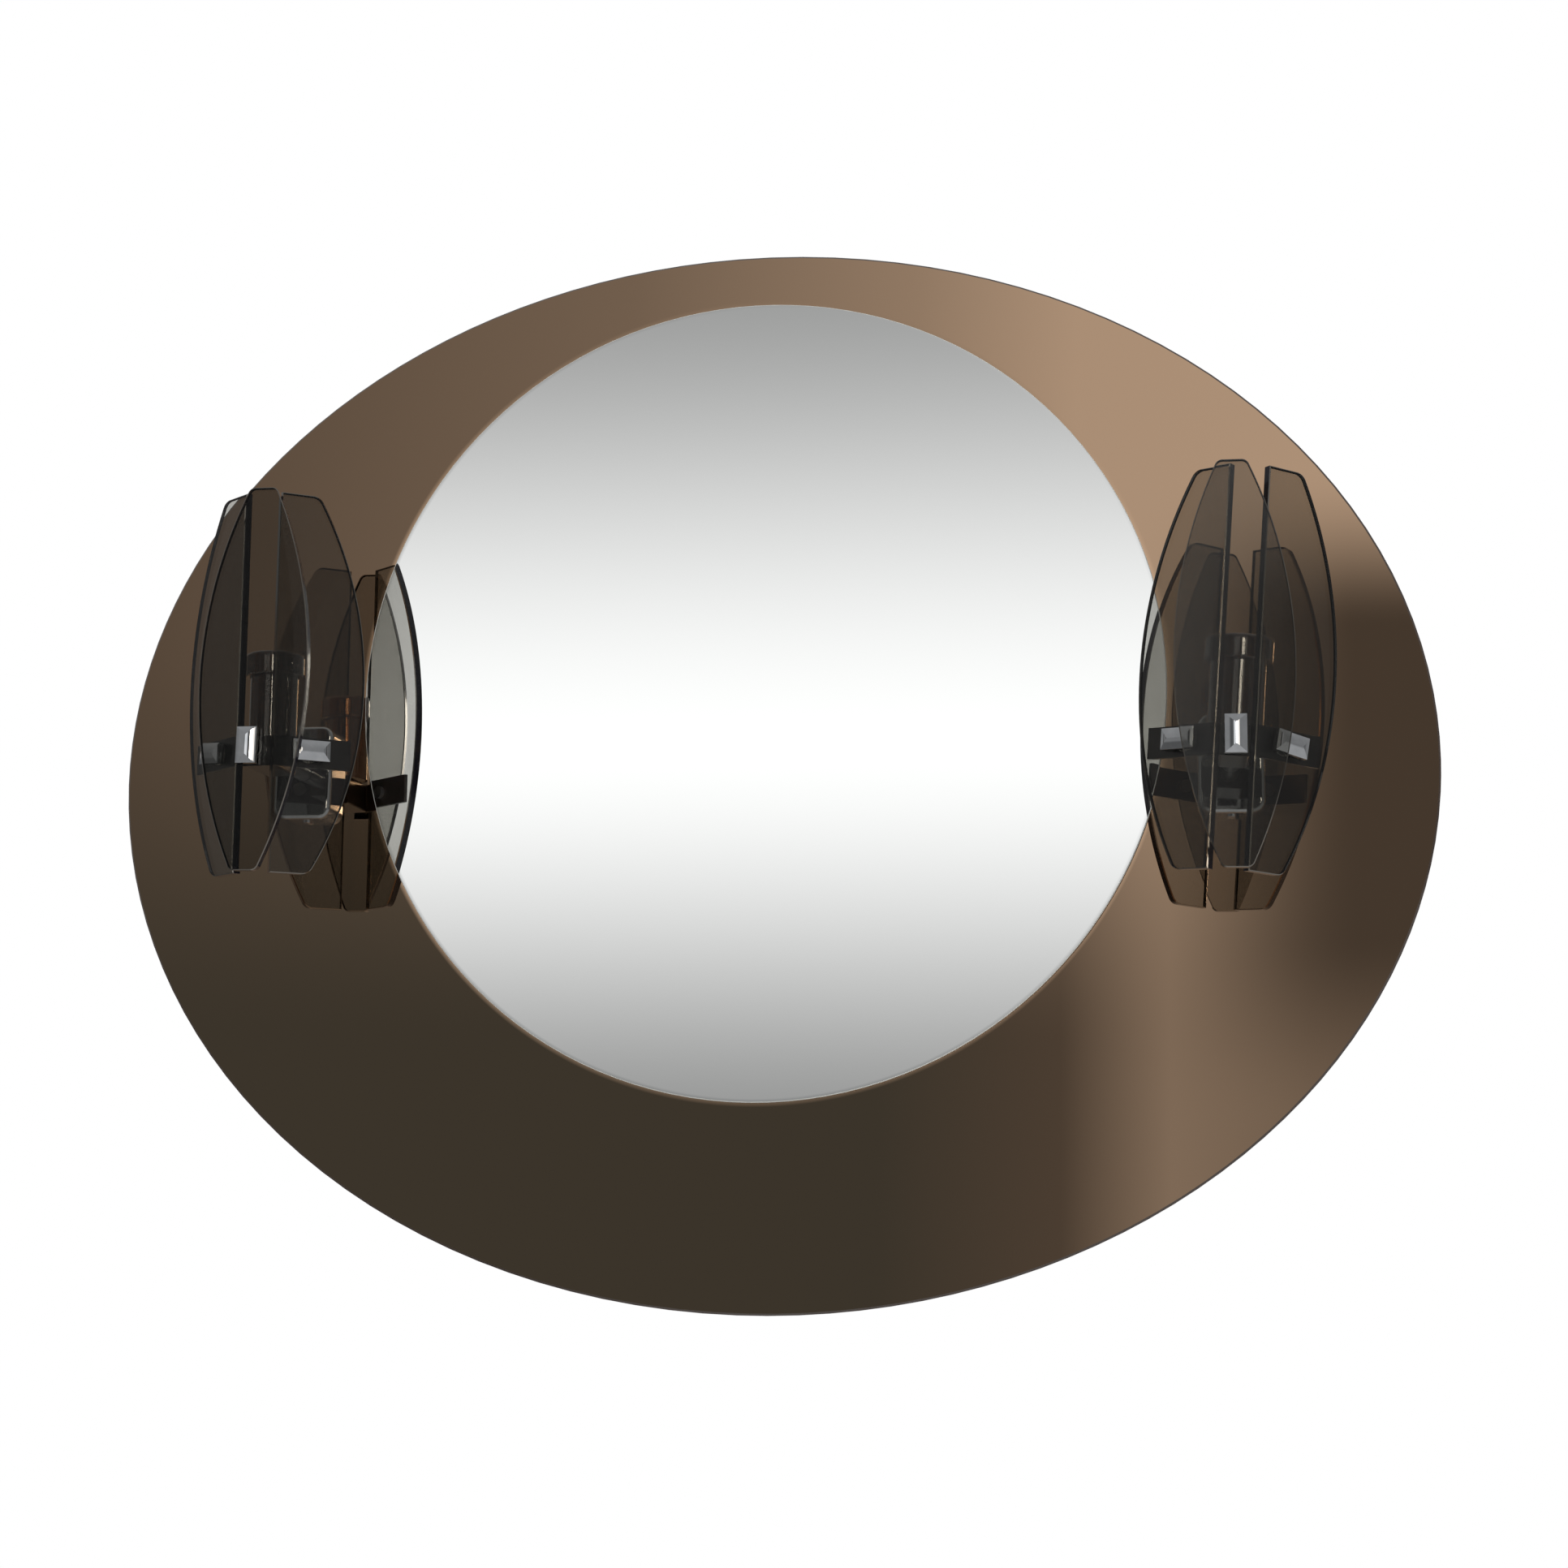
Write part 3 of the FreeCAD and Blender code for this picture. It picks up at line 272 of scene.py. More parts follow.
@dataclass(frozen=True)
class SmokedGlass(Finish):
    """Smoked float glass with a polished edge: a clear grey-brown tint, dark at its edge."""

    tint: str
    edge: str
    arris: str
    lean: Lean
    square: float = 0.9
    askew: float = 0.4
    edge_rough: float = 0.12
    streak_mm: float = 45.0
    streak_span: Span = (0.35, 0.65)
    streak_share: float = 0.96
    gleam: float = 0.75
    glass_ior: float = 1.5

    def sockets(self, tree: Tree) -> dict[str, Any]:
        """Splits face, arris and edge by the way the surface faces.

        Args:
            tree: the material's node tree.

        Returns:
            What goes into each socket of the surface shader.
        """
        facing = self.facing(tree, self.lean.normal)
        squarely = add_node(tree, "Math", {"Value": facing}, operation="ABSOLUTE")
        on_face, on_front = (
            add_node(tree, "Math", {"Value": squarely, "Value_001": limit}, operation="GREATER_THAN")
            for limit in (self.square, self.askew)
        )
        # Melt streaks in the sheet vary the tint by a few percent over a hand's width.
        streaks = between(self.streak_span, linear(self.tint, self.streak_share), linear(self.tint))
        melt = self.clouds(tree, self.streak_mm, detail=2.0, stretch=(1, 1, 4))
        sheet = add_node(tree, "ValToRGB", {"Fac": melt}, stops=streaks)
        edges = {"Factor_Float": on_front, "A_Color": linear(self.edge), "B_Color": linear(self.arris)}
        rim = add_node(tree, "Mix", edges, **IN_COLOUR)
        whole = {"Factor_Float": on_face, "A_Color": rim, "B_Color": sheet}
        polish = {"Value": on_face, "To Min": self.edge_rough, "To Max": 0.0}
        # The long way through the sheet lets no light out at the edge; the arris only mirrors the room.
        on_arris = add_node(tree, "Math", {"Value": on_front, "Value_001": on_face}, operation="SUBTRACT")
        return {
            "Base Color": add_node(tree, "Mix", whole, **IN_COLOUR),
            "Roughness": add_node(tree, "MapRange", polish),
            "Transmission Weight": on_face,
            "Metallic": on_arris,
            "Specular Tint": grey(self.gleam),
            "IOR": self.glass_ior,
        }


@dataclass(frozen=True)
class PlatedMetal(Finish):
    """A plated metal: its own colour, a roughness that wear varies, and fine polishing or rolling lines."""

    colour: str
    worn: str
    rough: float
    rough_worn: float
    lines_mm: float
    depth_mm: float
    stretch: Triple = (8, 1, 1)
    wear_mm: float = 9.0
    wear_span: Span = (0.35, 0.75)

    def sockets(self, tree: Tree) -> dict[str, Any]:
        """Gives the plating its cloudy wear and its lines.

        Args:
            tree: the material's node tree.

        Returns:
            What goes into each socket of the surface shader.
        """
        wear = self.clouds(tree, self.wear_mm, detail=4.0)
        shades = between(self.wear_span, linear(self.colour), linear(self.worn))
        varied = {"Value": wear, "To Min": self.rough, "To Max": self.rough_worn}
        lines = self.clouds(tree, self.lines_mm, detail=2.0, stretch=self.stretch)
        return {
            "Base Color": add_node(tree, "ValToRGB", {"Fac": wear}, stops=shades),
            "Roughness": add_node(tree, "MapRange", varied),
            "Metallic": 1.0,
            "Normal": add_node(tree, "Bump", {"Height": lines, "Distance": self.depth_mm * MM}),
        }


@dataclass(frozen=True)
class Phenolic(Finish):
    """Moulded phenolic resin: dark brown with paler flow clouds under a hard gloss."""

    dark: str
    pale: str
    flow_mm: float = 5.0
    flow_span: Span = (0.35, 0.7)
    rough: Span = (0.05, 0.1)
    resin_ior: float = 1.75
    skin_rough: float = 0.03
    skin_ior: float = 1.7

    def sockets(self, tree: Tree) -> dict[str, Any]:
        """Mixes the flow clouds and sets the gloss.

        Args:
            tree: the material's node tree.

        Returns:
            What goes into each socket of the surface shader.
        """
        flow = self.clouds(tree, self.flow_mm, detail=5.0, stretch=(1, 1, 3))
        shades = between(self.flow_span, linear(self.dark), linear(self.pale))
        varied = {"Value": flow, "To Min": self.rough[0], "To Max": self.rough[1]}
        return {
            "Base Color": add_node(tree, "ValToRGB", {"Fac": flow}, stops=shades),
            "Roughness": add_node(tree, "MapRange", varied),
            "IOR": self.resin_ior,
            "Coat Weight": 1.0,
            "Coat Roughness": self.skin_rough,
            "Coat IOR": self.skin_ior,
        }


@dataclass(frozen=True)
class MouldedPart(Finish):
    """A moulded, extruded or fired part in one colour: faint clouds and a fine surface grain."""

    pale: str
    shade: str
    rough: float
    grain_mm: float
    depth_mm: float
    coat: float = 0.0
    cloud_mm: float = 7.0
    cloud_span: Span = (0.3, 0.7)

    def sockets(self, tree: Tree) -> dict[str, Any]:
        """Sets the clouds, the grain and the coat.

        Args:
            tree: the material's node tree.

        Returns:
            What goes into each socket of the surface shader.
        """
        shades = between(self.cloud_span, linear(self.shade), linear(self.pale))
        grain = self.clouds(tree, self.grain_mm, detail=2.0)
        return {
            "Base Color": add_node(tree, "ValToRGB", {"Fac": self.clouds(tree, self.cloud_mm)}, stops=shades),
            "Roughness": self.rough,
            "Coat Weight": self.coat,
            "Normal": add_node(tree, "Bump", {"Height": grain, "Distance": self.depth_mm * MM}),
        }


@dataclass(frozen=True)
class Plywood(Finish):
    """Sanded plywood: long veneer grain on its faces and the stack of plies on its edge."""

    pale: str
    grain: str
    core: str
    ply_mm: float = 2.4
    fibre_mm: float = 3.0
    figure_mm: float = 38.0
    figure_span: Span = (0.4, 0.6)
    depth_mm: float = 0.15
    square: float = 0.7
    rough: float = 0.68

    def veneer(self, tree: Tree, fibres: Socket) -> Socket:
        """Draws the grain of a face.

        Args:
            tree: the material's node tree.
            fibres: the fine pattern along the grain.

        Returns:
            The face's colour.
        """
        figure = self.clouds(tree, self.figure_mm, detail=2.0, stretch=(9, 1, 1))
        both = add_node(tree, "Math", {"Value": fibres, "Value_001": figure}, operation="ADD")
        mean = add_node(tree, "Math", {"Value": both, "Value_001": 0.5}, operation="MULTIPLY")
        shades = between(self.figure_span, linear(self.grain), linear(self.pale))
        return add_node(tree, "ValToRGB", {"Fac": mean}, stops=shades)

    def plies(self, tree: Tree) -> Socket:
        """Draws the stack of plies on an edge.

        Args:
            tree: the material's node tree.

        Returns:
            The edge's colour.
        """
        place = add_node(tree, "TexCoord", out="Object")
        depth = add_node(tree, "SeparateXYZ", {"Vector": place}, "Y")
        ply = self.ply_mm * MM
        pair = add_node(tree, "Math", {"Value": depth, "Value_001": 2.0 * ply}, operation="PINGPONG")
        crosswise = add_node(tree, "Math", {"Value": pair, "Value_001": ply}, operation="GREATER_THAN")
        stack = {"Factor_Float": crosswise, "A_Color": linear(self.pale), "B_Color": linear(self.core)}
        return add_node(tree, "Mix", stack, **IN_COLOUR)

    def sockets(self, tree: Tree) -> dict[str, Any]:
        """Splits face and edge, and draws the grain or the plies.

        Args:
            tree: the material's node tree.

        Returns:
            What goes into each socket of the surface shader.
        """
        facing = self.facing(tree, BACKWARD)
        squarely = add_node(tree, "Math", {"Value": facing}, operation="ABSOLUTE")
        limits = {"Value": squarely, "Value_001": self.square}
        on_face = add_node(tree, "Math", limits, operation="GREATER_THAN")
        fibres = self.clouds(tree, self.fibre_mm, detail=6.0, stretch=(40, 1, 1))
        whole = {"Factor_Float": on_face, "A_Color": self.plies(tree), "B_Color": self.veneer(tree, fibres)}
        return {
            "Base Color": add_node(tree, "Mix", whole, **IN_COLOUR),
            "Roughness": self.rough,
            "Normal": add_node(tree, "Bump", {"Height": fibres, "Distance": self.depth_mm * MM}),
        }


# Polishing lines, rings and grain are finer in truth, and are drawn as coarse as they need to show.

# Bronze float glass, silvered: a warm brown image, a darker ground rim, grey-brown paint behind.
BRONZE_MIRROR = MirrorGlass(
    "bronze_float_glass_silvered", silver="#CFAC8C", rim="#3A2E27", paint="#4A4340"
)
# Clear float glass, silvered: a neutral image with a pale ground rim.
CLEAR_MIRROR = MirrorGlass("clear_float_glass_silvered", silver="#F2F3F2", rim="#C4C6C2", paint="#6E6A66")
# Bright chrome on brass: near-white, sharp reflections with faint polishing lines.
CHROME = PlatedMetal(
    "chrome_plated_polished",
    colour="#CCCED1",
    worn="#BCBFC2",
    rough=0.03,
    rough_worn=0.07,
    lines_mm=0.8,
    depth_mm=0.0015,
)
# Zinc on steel: grey, cloudy and half dull.
ZINC = PlatedMetal(
    "zinc_plated_steel_passivated",
    colour="#B4B6B6",
    worn="#9A9C9A",
    rough=0.32,
    rough_worn=0.48,
    lines_mm=1.2,
    depth_mm=0.01,
)
# Turned brass: yellow, with the cutter's rings round it.
BRASS = PlatedMetal(
    "brass_turned",
    colour="#C9A65A",
    worn="#A8843F",
    rough=0.18,
    rough_worn=0.32,
    lines_mm=0.5,
    depth_mm=0.008,
    stretch=(6, 6, 1),
)
# Brown phenolic moulding: dark, warm and glossy.
HOLDER_BROWN = Phenolic("phenolic_moulded_brown", dark="#382318", pale="#523424")
# Glazed porcelain: warm white under a wet gloss.
PORCELAIN = MouldedPart(
    "porcelain_glazed", pale="#E9E5DA", shade="#DDD8CB", rough=0.18, grain_mm=2.5, depth_mm=0.02, coat=0.6
)
# Moulded nylon: white, slightly waxy.
NYLON = MouldedPart(
    "nylon_moulded_white", pale="#E6E4DC", shade="#D8D5CB", rough=0.42, grain_mm=0.6, depth_mm=0.01
)
# Extruded sheath of soft plastic: ivory with a satin skin.
SHEATH = MouldedPart(
    "pvc_extruded_ivory", pale="#DAD5C6", shade="#CBC5B4", rough=0.38, grain_mm=1.0, depth_mm=0.01
)
# Closed-cell foam tape: off-white, dull and finely pitted.
FOAM = MouldedPart(
    "foam_tape_die_cut", pale="#D9D8D2", shade="#C6C5BE", rough=0.85, grain_mm=0.9, depth_mm=0.06
)
# Rubber sheet: black, dull, with a cloth-pressed grain.
RUBBER = MouldedPart(
    "rubber_sheet_pressed", pale="#1D1C1B", shade="#141313", rough=0.7, grain_mm=0.7, depth_mm=0.04
)
# Stove enamel on steel: a warm black with a soft gloss.
ENAMEL = MouldedPart(
    "steel_stove_enamelled_black",
    pale="#35302D",
    shade="#292523",
    rough=0.3,
    grain_mm=1.4,
    depth_mm=0.005,
    coat=0.5,
)
# Sanded poplar plywood: pale yellow-brown.
PLYWOOD = Plywood("poplar_plywood_sanded", pale="#C6A679", grain="#A8875B", core="#8C6A44")
# Background paper: near-white and quite dull.
PAPER = MouldedPart(
    "studio_paper_matt", pale="#F4F4F4", shade="#F0F0F0", rough=0.9, grain_mm=4.0, depth_mm=0.02
)


def smoked(lean: Lean) -> SmokedGlass:
    """The smoked glass of a pane that faces this way."""
    # Grey-brown with near-black edges and a thin bright line round them.
    name = "smoked_float_glass_polished_" + lean.name.lower()
    return SmokedGlass(name, tint="#B4B3AE", edge="#17151B", arris="#8A857E", lean=lean)


def paint_node(node: str, finish: Finish) -> None:
    """Gives a CAD node its finish.

    Args:
        node: the node's name.
        finish: what it is made of.
    """
    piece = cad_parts[node]
    piece.data.materials.clear()
    piece.data.materials.append(finish.make())
    LOG.info("%s: %s", node, finish.name)


@dataclass(frozen=True)
class Ride:
    """What a new piece moves with and the name of its material slot."""

    body: str
    slot: str


def new_piece(
    name: str, mesh: bmesh.types.BMesh, finish: Finish, ride: Ride, smooth_deg: float = 35.0
) -> bpy.types.Object:
    """Turns a finished bmesh into a piece that rides on a body.

    Args:
        name: the piece's name.
        mesh: the shape in the part's own frame, in metres; it is freed.
        finish: what it is made of.
        ride: the CAD body that it moves with.
        smooth_deg: edges sharper than this stay sharp.

    Returns:
        The new object, at the origin.
    """
    data = bpy.data.meshes.new(name)
    mesh.to_mesh(data)
    mesh.free()
    data.materials.append(finish.make())
    data.shade_smooth()
    data.set_sharp_from_angle(angle=math.radians(smooth_deg))
    piece = bpy.data.objects.new(name, data)
    bpy.context.scene.collection.objects.link(piece)
    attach(piece, ride.body)
    LOG.info("%s: %s on %s", name, finish.name, ride.body)
    return piece


def spun(profile: list[tuple[float, float]], steps: int = 32) -> bmesh.types.BMesh:
    """Turns a profile round the Z axis.

    Args:
        profile: radius and height of each point, the first and last on the axis.
        steps: how many segments go round.

    Returns:
        A closed bmesh with outward normals.
    """
    mesh = bmesh.new()
    points = [mesh.verts.new((radius, 0.0, height)) for radius, height in profile]
    edges = [mesh.edges.new(pair) for pair in zip(points, points[1:])]
    bmesh.ops.spin(
        mesh,
        geom=points + edges,
        cent=(0, 0, 0),
        axis=(0, 0, 1),
        angle=math.tau,
        steps=steps,
        use_merge=True,
    )
    bmesh.ops.remove_doubles(mesh, verts=mesh.verts, dist=MERGE)
    bmesh.ops.recalc_face_normals(mesh, faces=mesh.faces)
    return mesh


def cut_through(mesh: bmesh.types.BMesh, place: Vector, way: Vector, keep_inner: bool = False) -> None:
    """Cuts a mesh along a plane, and takes off what lies beyond it where only the inner is kept."""
    geom = list(mesh.verts) + list(mesh.edges) + list(mesh.faces)
    bmesh.ops.bisect_plane(mesh, geom=geom, dist=MERGE, plane_co=place, plane_no=way, clear_outer=keep_inner)


class HeadForm(Enum):
    """Half outlines of screw heads from the crown down, as shares of the head's radius and height."""

    PAN = ((0.0, 0.0), (0.31, 0.045), (0.62, 0.171), (0.9, 0.36), (1.0, 0.45), (1.0, 1.0))
    COUNTERSUNK = ((0.0, 0.0), (0.31, 0.0), (0.62, 0.0), (0.9, 0.0), (1.0, 0.12))


@dataclass(frozen=True)
class DrivenScrew:
    """A screw with a cross recess, drawn with its axis along +Z and its crown at the top."""

    head_radius: float
    head_height: float
    shank_radius: float
    shank_length: float
    form: HeadForm = HeadForm.PAN
    shank_shares: Levels = ((1.0, 0.0), (1.0, 0.85), (0.35, 1.0), (0.0, 1.0))
    recess_share: float = 0.61
    recess_width_share: float = 0.26
    recess_depth_share: float = 0.55
    crown_facing: float = 0.3
    steps: int = 24

    def outline(self) -> list[tuple[float, float]]:
        """Half outline of the screw.

        Returns:
            Radius and height of each point, from the crown down to the tip.
        """
        head = [(wide * self.head_radius, -down * self.head_height) for wide, down in self.form.value]
        shank = [(wide * self.shank_radius, down * self.shank_length) for wide, down in self.shank_shares]
        return head + [(radius, -self.head_height - drop) for radius, drop in shank]

    def sink_recess(self, mesh: bmesh.types.BMesh) -> None:
        """Sinks the cross into the crown.

        Args:
            mesh: the plain screw.
        """
        half = self.head_radius * self.recess_width_share / 2
        for axis in (Vector((1, 0, 0)), Vector((0, 1, 0))):
            for sign in (-1, 1):
                cut_through(mesh, axis * half * sign, axis)
        reach = self.head_radius * self.recess_share
        picked = []
        for face in mesh.faces:
            middle = face.calc_center_median()
            in_cross = min(abs(middle.x), abs(middle.y)) < half and middle.xy.length < reach
            if in_cross and face.normal.z > self.crown_facing:
                picked.append(face)
        grown = bmesh.ops.extrude_face_region(mesh, geom=picked)
        sunk = [part for part in grown["geom"] if isinstance(part, bmesh.types.BMVert)]
        bmesh.ops.delete(mesh, geom=picked, context="FACES")
        bmesh.ops.translate(mesh, verts=sunk, vec=(0, 0, -self.head_height * self.recess_depth_share))

    def build(self, place: Matrix) -> bmesh.types.BMesh:
        """Makes one screw.

        Args:
            place: where its crown goes and which way it points.

        Returns:
            The screw as a bmesh.
        """
        mesh = spun(self.outline(), self.steps)
        self.sink_recess(mesh)
        bmesh.ops.recalc_face_normals(mesh, faces=mesh.faces)
        bmesh.ops.transform(mesh, matrix=place, verts=mesh.verts)
        return mesh


def joined(meshes: list[bmesh.types.BMesh]) -> bmesh.types.BMesh:
    """Puts several bmeshes into one, as separate shells.

    Args:
        meshes: what to join; each is freed.

    Returns:
        One bmesh with all of them.
    """
    whole = bmesh.new()
    for part in meshes:
        data = bpy.data.meshes.new("part")
        part.to_mesh(data)
        part.free()
        whole.from_mesh(data)
        bpy.data.meshes.remove(data)
    return whole


def pointing(place: Triple, way: Vector) -> Matrix:
    """A frame at a place with its Z axis that way."""
    return Matrix.Translation(Vector(place)) @ way.to_track_quat("Z", "Y").to_matrix().to_4x4()


@dataclass
class MirrorPlate:
    """The oval, the disc, the tape between them and the board behind."""

    finishes: dict[str, Finish] = field(
        default_factory=lambda: {
            "bronze_mirror": BRONZE_MIRROR,
            "clear_mirror_disc": CLEAR_MIRROR,
            "mirror_tape": FOAM,
            "backing_board": PLYWOOD,
        }
    )

    def dress(self) -> None:
        """Gives each layer its finish."""
        for node, finish in self.finishes.items():
            paint_node(node, finish)


@dataclass
class BackFittings:
    """Hangers, wiring and screws in the back of the board."""

    hanger_spacing: float = 440.0 * MM
    hanger_rise: float = 190.0 * MM
    hanger_screws: float = 38.0 * MM
    saddle_screws: float = 22.0 * MM
    saddle_drop: float = 80.0 * MM
    block_drop: float = 60.0 * MM
    block_step: float = 10.0 * MM
    block_row: float = 4.0 * MM
    block_face: float = 1.0 * MM
    block_sink: float = 0.5 * MM
    wood_screw: DrivenScrew = DrivenScrew(
        head_radius=3.0 * MM,
        head_height=1.5 * MM,
        shank_radius=1.5 * MM,
        shank_length=7.5 * MM,
        form=HeadForm.COUNTERSUNK,
    )
    clamp_screw: DrivenScrew = DrivenScrew(
        head_radius=1.85 * MM, head_height=1.0 * MM, shank_radius=1.3 * MM, shank_length=1.2 * MM
    )

    def dress(self) -> None:
        """Gives the CAD fittings their finishes."""
        for node in ("hanger_plates", "cable_saddle"):
            paint_node(node, ZINC)
        for node in ("terminal_block", "lead_clips"):
            paint_node(node, NYLON)
        paint_node("board_leads", SHEATH)

    def wood_screws(self) -> bpy.types.Object:
        """Makes the countersunk screws with their cross recesses.

        Returns:
            The piece that stands for the plain screws.
        """
        places = []
        for hanger in (-1, 1):
            for end in (-1, 1):
                across = (hanger * self.hanger_spacing + end * self.hanger_screws) / 2
                places.append((across, self.hanger_rise))
        for end in (-1, 1):
            places.append((end * self.saddle_screws / 2, -self.saddle_drop))
        shells = [self.wood_screw.build(pointing((x, 0.0, z), BACKWARD)) for x, z in places]
        piece = new_piece("wood_screws_driven", joined(shells), ZINC, Ride("mirror", "zinc_steel"))
        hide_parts("wood_screws")
        return piece

    def terminal_screws(self) -> bpy.types.Object:
        """Makes the brass screws down in the terminal block.

        Returns:
            The new piece.
        """
        depth = -self.block_face - self.block_sink
        shells = []
        for pole in (-1, 0, 1):
            for row in (-1, 1):
                place = (pole * self.block_step, depth, row * self.block_row - self.block_drop)
                shells.append(self.clamp_screw.build(pointing(place, BACKWARD)))
        return new_piece("terminal_screws", joined(shells), BRASS, Ride("mirror", "brass"))


@dataclass
class Sconce:
    """One sconce: its wall box, arm, lamp-holder, bracket, panes and caps."""

    side: Side
    face: float = 18.0 * MM
    holder_depth: float = 72.0 * MM
    shell_foot: float = 36.0 * MM
    shell_top: float = 59.0 * MM
    shell_wall: float = 0.3 * MM
    thread_root: float = 7.25 * MM
    thread_crest: float = 6.55 * MM
    thread_pitch: float = 2.82 * MM
    thread_steps: int = 36
    # The thread starts some pitches below the shell and winds past its top, and is then trimmed.
    thread_lead: float = 1.5
    spare_turns: int = 2
    wave_steps: int = 8
    seam: float = 0.01 * MM
    smooth_deg: float = 60.0

    def dress(self) -> None:
        """Gives every CAD piece of the sconce its finish."""
        finishes = {
            "wall_box": CHROME,
            "arm_tube": ENAMEL,
            "hub": ENAMEL,
            "pane_bracket": ENAMEL,
            "clamp_studs": ZINC,
            "spacer_sleeve": CHROME,
            "holder_nipple": BRASS,
            "holder_core": PORCELAIN,
            "holder_sleeve": HOLDER_BROWN,
            "holder_ring": HOLDER_BROWN,
            "centre_contact": BRASS,
            "lamp_lead": SHEATH,
        }
        turned = {-1: Lean.TO_LEFT, 0: Lean.FRONT, 1: Lean.TO_RIGHT}
        for place, way in (("front", 0), ("inner", -self.side.sign), ("outer", self.side.sign)):
            finishes[place + "_pane"] = smoked(turned[way])
            finishes[place + "_bush"] = NYLON
            finishes[place + "_cap"] = CHROME
        for piece, finish in finishes.items():
            paint_node(self.side.prefix + piece, finish)

    def rolled_thread(self) -> bmesh.types.BMesh:
        """Winds one wave of the thread up the shell and trims its ends.

        Returns:
            The thread's skin on the Z axis, with its foot at the origin.
        """
        height = self.shell_top - self.shell_foot
        turns = math.ceil(height / self.thread_pitch) + self.spare_turns
        middle = (self.thread_root + self.thread_crest) / 2
        swing = (self.thread_root - self.thread_crest) / 2
        mesh = bmesh.new()
        points = []
        for step in range(self.wave_steps + 1):
            share = step / self.wave_steps
            radius = middle + swing * math.cos(share * math.tau)
            points.append(mesh.verts.new((radius, 0.0, (share - self.thread_lead) * self.thread_pitch)))
        edges = [mesh.edges.new(pair) for pair in zip(points, points[1:])]
        bmesh.ops.spin(
            mesh,
            geom=points + edges,
            cent=(0, 0, 0),
            axis=(0, 0, 1),
            dvec=(0, 0, self.thread_pitch / self.thread_steps),
            angle=math.tau * turns,
            steps=self.thread_steps * turns,
        )
        bmesh.ops.remove_doubles(mesh, verts=mesh.verts, dist=self.seam)
        for level, way in ((0.0, -1), (height, 1)):
            cut_through(mesh, Vector((0, 0, level)), Vector((0, 0, way)), keep_inner=True)
        return mesh

    def thread(self) -> bpy.types.Object:
        """Makes the threaded socket shell.

        Returns:
            The piece that stands for the plain shell.
        """
        mesh = self.rolled_thread()
        bmesh.ops.recalc_face_normals(mesh, faces=mesh.faces)
        bmesh.ops.solidify(mesh, geom=list(mesh.faces), thickness=self.shell_wall)
        holder = Matrix.Translation((0, -self.holder_depth, self.shell_foot))
        turn = Matrix.Rotation(self.side.turn, 4, FORWARD)
        arm = Matrix.Translation((self.side.sign * ARM_REACH, -self.face, -ARM_DROP))
        bmesh.ops.transform(mesh, matrix=arm @ turn @ holder, verts=mesh.verts)
        prefix = self.side.prefix
        ride = Ride(prefix + "arm", "brass")
        piece = new_piece(prefix + "socket_thread", mesh, BRASS, ride, self.smooth_deg)
        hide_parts(prefix + "socket_shell")
        return piece


@dataclass
class WallFixings:
    """The straps, gaskets and screws that hold both sconces on the mirror."""

    depth: float = 21.25 * MM
    box_half_height: float = 32.5 * MM
    screw: DrivenScrew = DrivenScrew(
        head_radius=2.75 * MM, head_height=1.6 * MM, shank_radius=1.5 * MM, shank_length=9.5 * MM
    )

    def dress(self) -> None:
        """Gives the CAD fixings their finishes."""
        paint_node("mounting_straps", ZINC)
        paint_node("strap_screws", ZINC)
        paint_node("strap_gaskets", RUBBER)

    def box_screws(self) -> bpy.types.Object:
        """Makes the pan-head screws in the boxes' top and bottom walls.

        Returns:
            The piece that stands for the plain screws.
        """
        shells = []
        for side in Side:
            for end in (-1, 1):
                z = end * (self.box_half_height + self.screw.head_height) - ARM_DROP
                place = pointing((side.sign * ARM_REACH, -self.depth, z), Vector((0, 0, end)))
                shells.append(self.screw.build(place))
        piece = new_piece("wall_box_screws_driven", joined(shells), CHROME, Ride("mirror", "chrome"))
        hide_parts("wall_box_screws")
        return piece


@dataclass
class Viewpoint:
    """The camera: its place, its turns in radians, and its lens as a share of the picture's width."""

    place: Triple = (0.266539, -1.573842, -0.285074)
    yaw: float = -0.157699
    pitch: float = -0.171243
    roll: float = 0.018301
    focal_share: float = 1.510193
    sensor_mm: float = 36.0

    def build(self) -> bpy.types.Object:
        """Makes the camera the scene's own.

        Returns:
            The camera object.
        """
        data = bpy.data.cameras.new("camera")
        data.sensor_fit = "HORIZONTAL"
        data.sensor_width = self.sensor_mm
        data.lens = self.sensor_mm * self.focal_share
        camera = bpy.data.objects.new("camera", data)
        bpy.context.scene.collection.objects.link(camera)
        base = Matrix(((1, 0, 0), (0, 0, -1), (0, 1, 0)))
        turn = Matrix.Rotation(self.roll, 3, "Z") @ base
        turn = turn @ Matrix.Rotation(self.pitch, 3, "X") @ Matrix.Rotation(self.yaw, 3, "Z")
        flipped = Matrix.Diagonal((1, -1, -1)) @ turn
        camera.matrix_world = Matrix.Translation(self.place) @ flipped.transposed().to_4x4()
        bpy.context.scene.camera = camera
        return camera


@dataclass(frozen=True)
class Fade:
    """A soft change of light: the slopes where it starts and ends, and how light it is there."""

    start: float
    end: float
    first: float
    last: float

    def draw(self, tree: Tree, value: Socket) -> Socket:
        """Draws the change along a value.

        Args:
            tree: node tree to add to.
            value: the slope that the change goes along.

        Returns:
            The light's socket.
        """
        span = {"Value": value, "From Min": self.start, "From Max": self.end}
        ends = {"To Min": self.first, "To Max": self.last}
        return add_node(tree, "MapRange", span | ends, interpolation_type="SMOOTHSTEP")


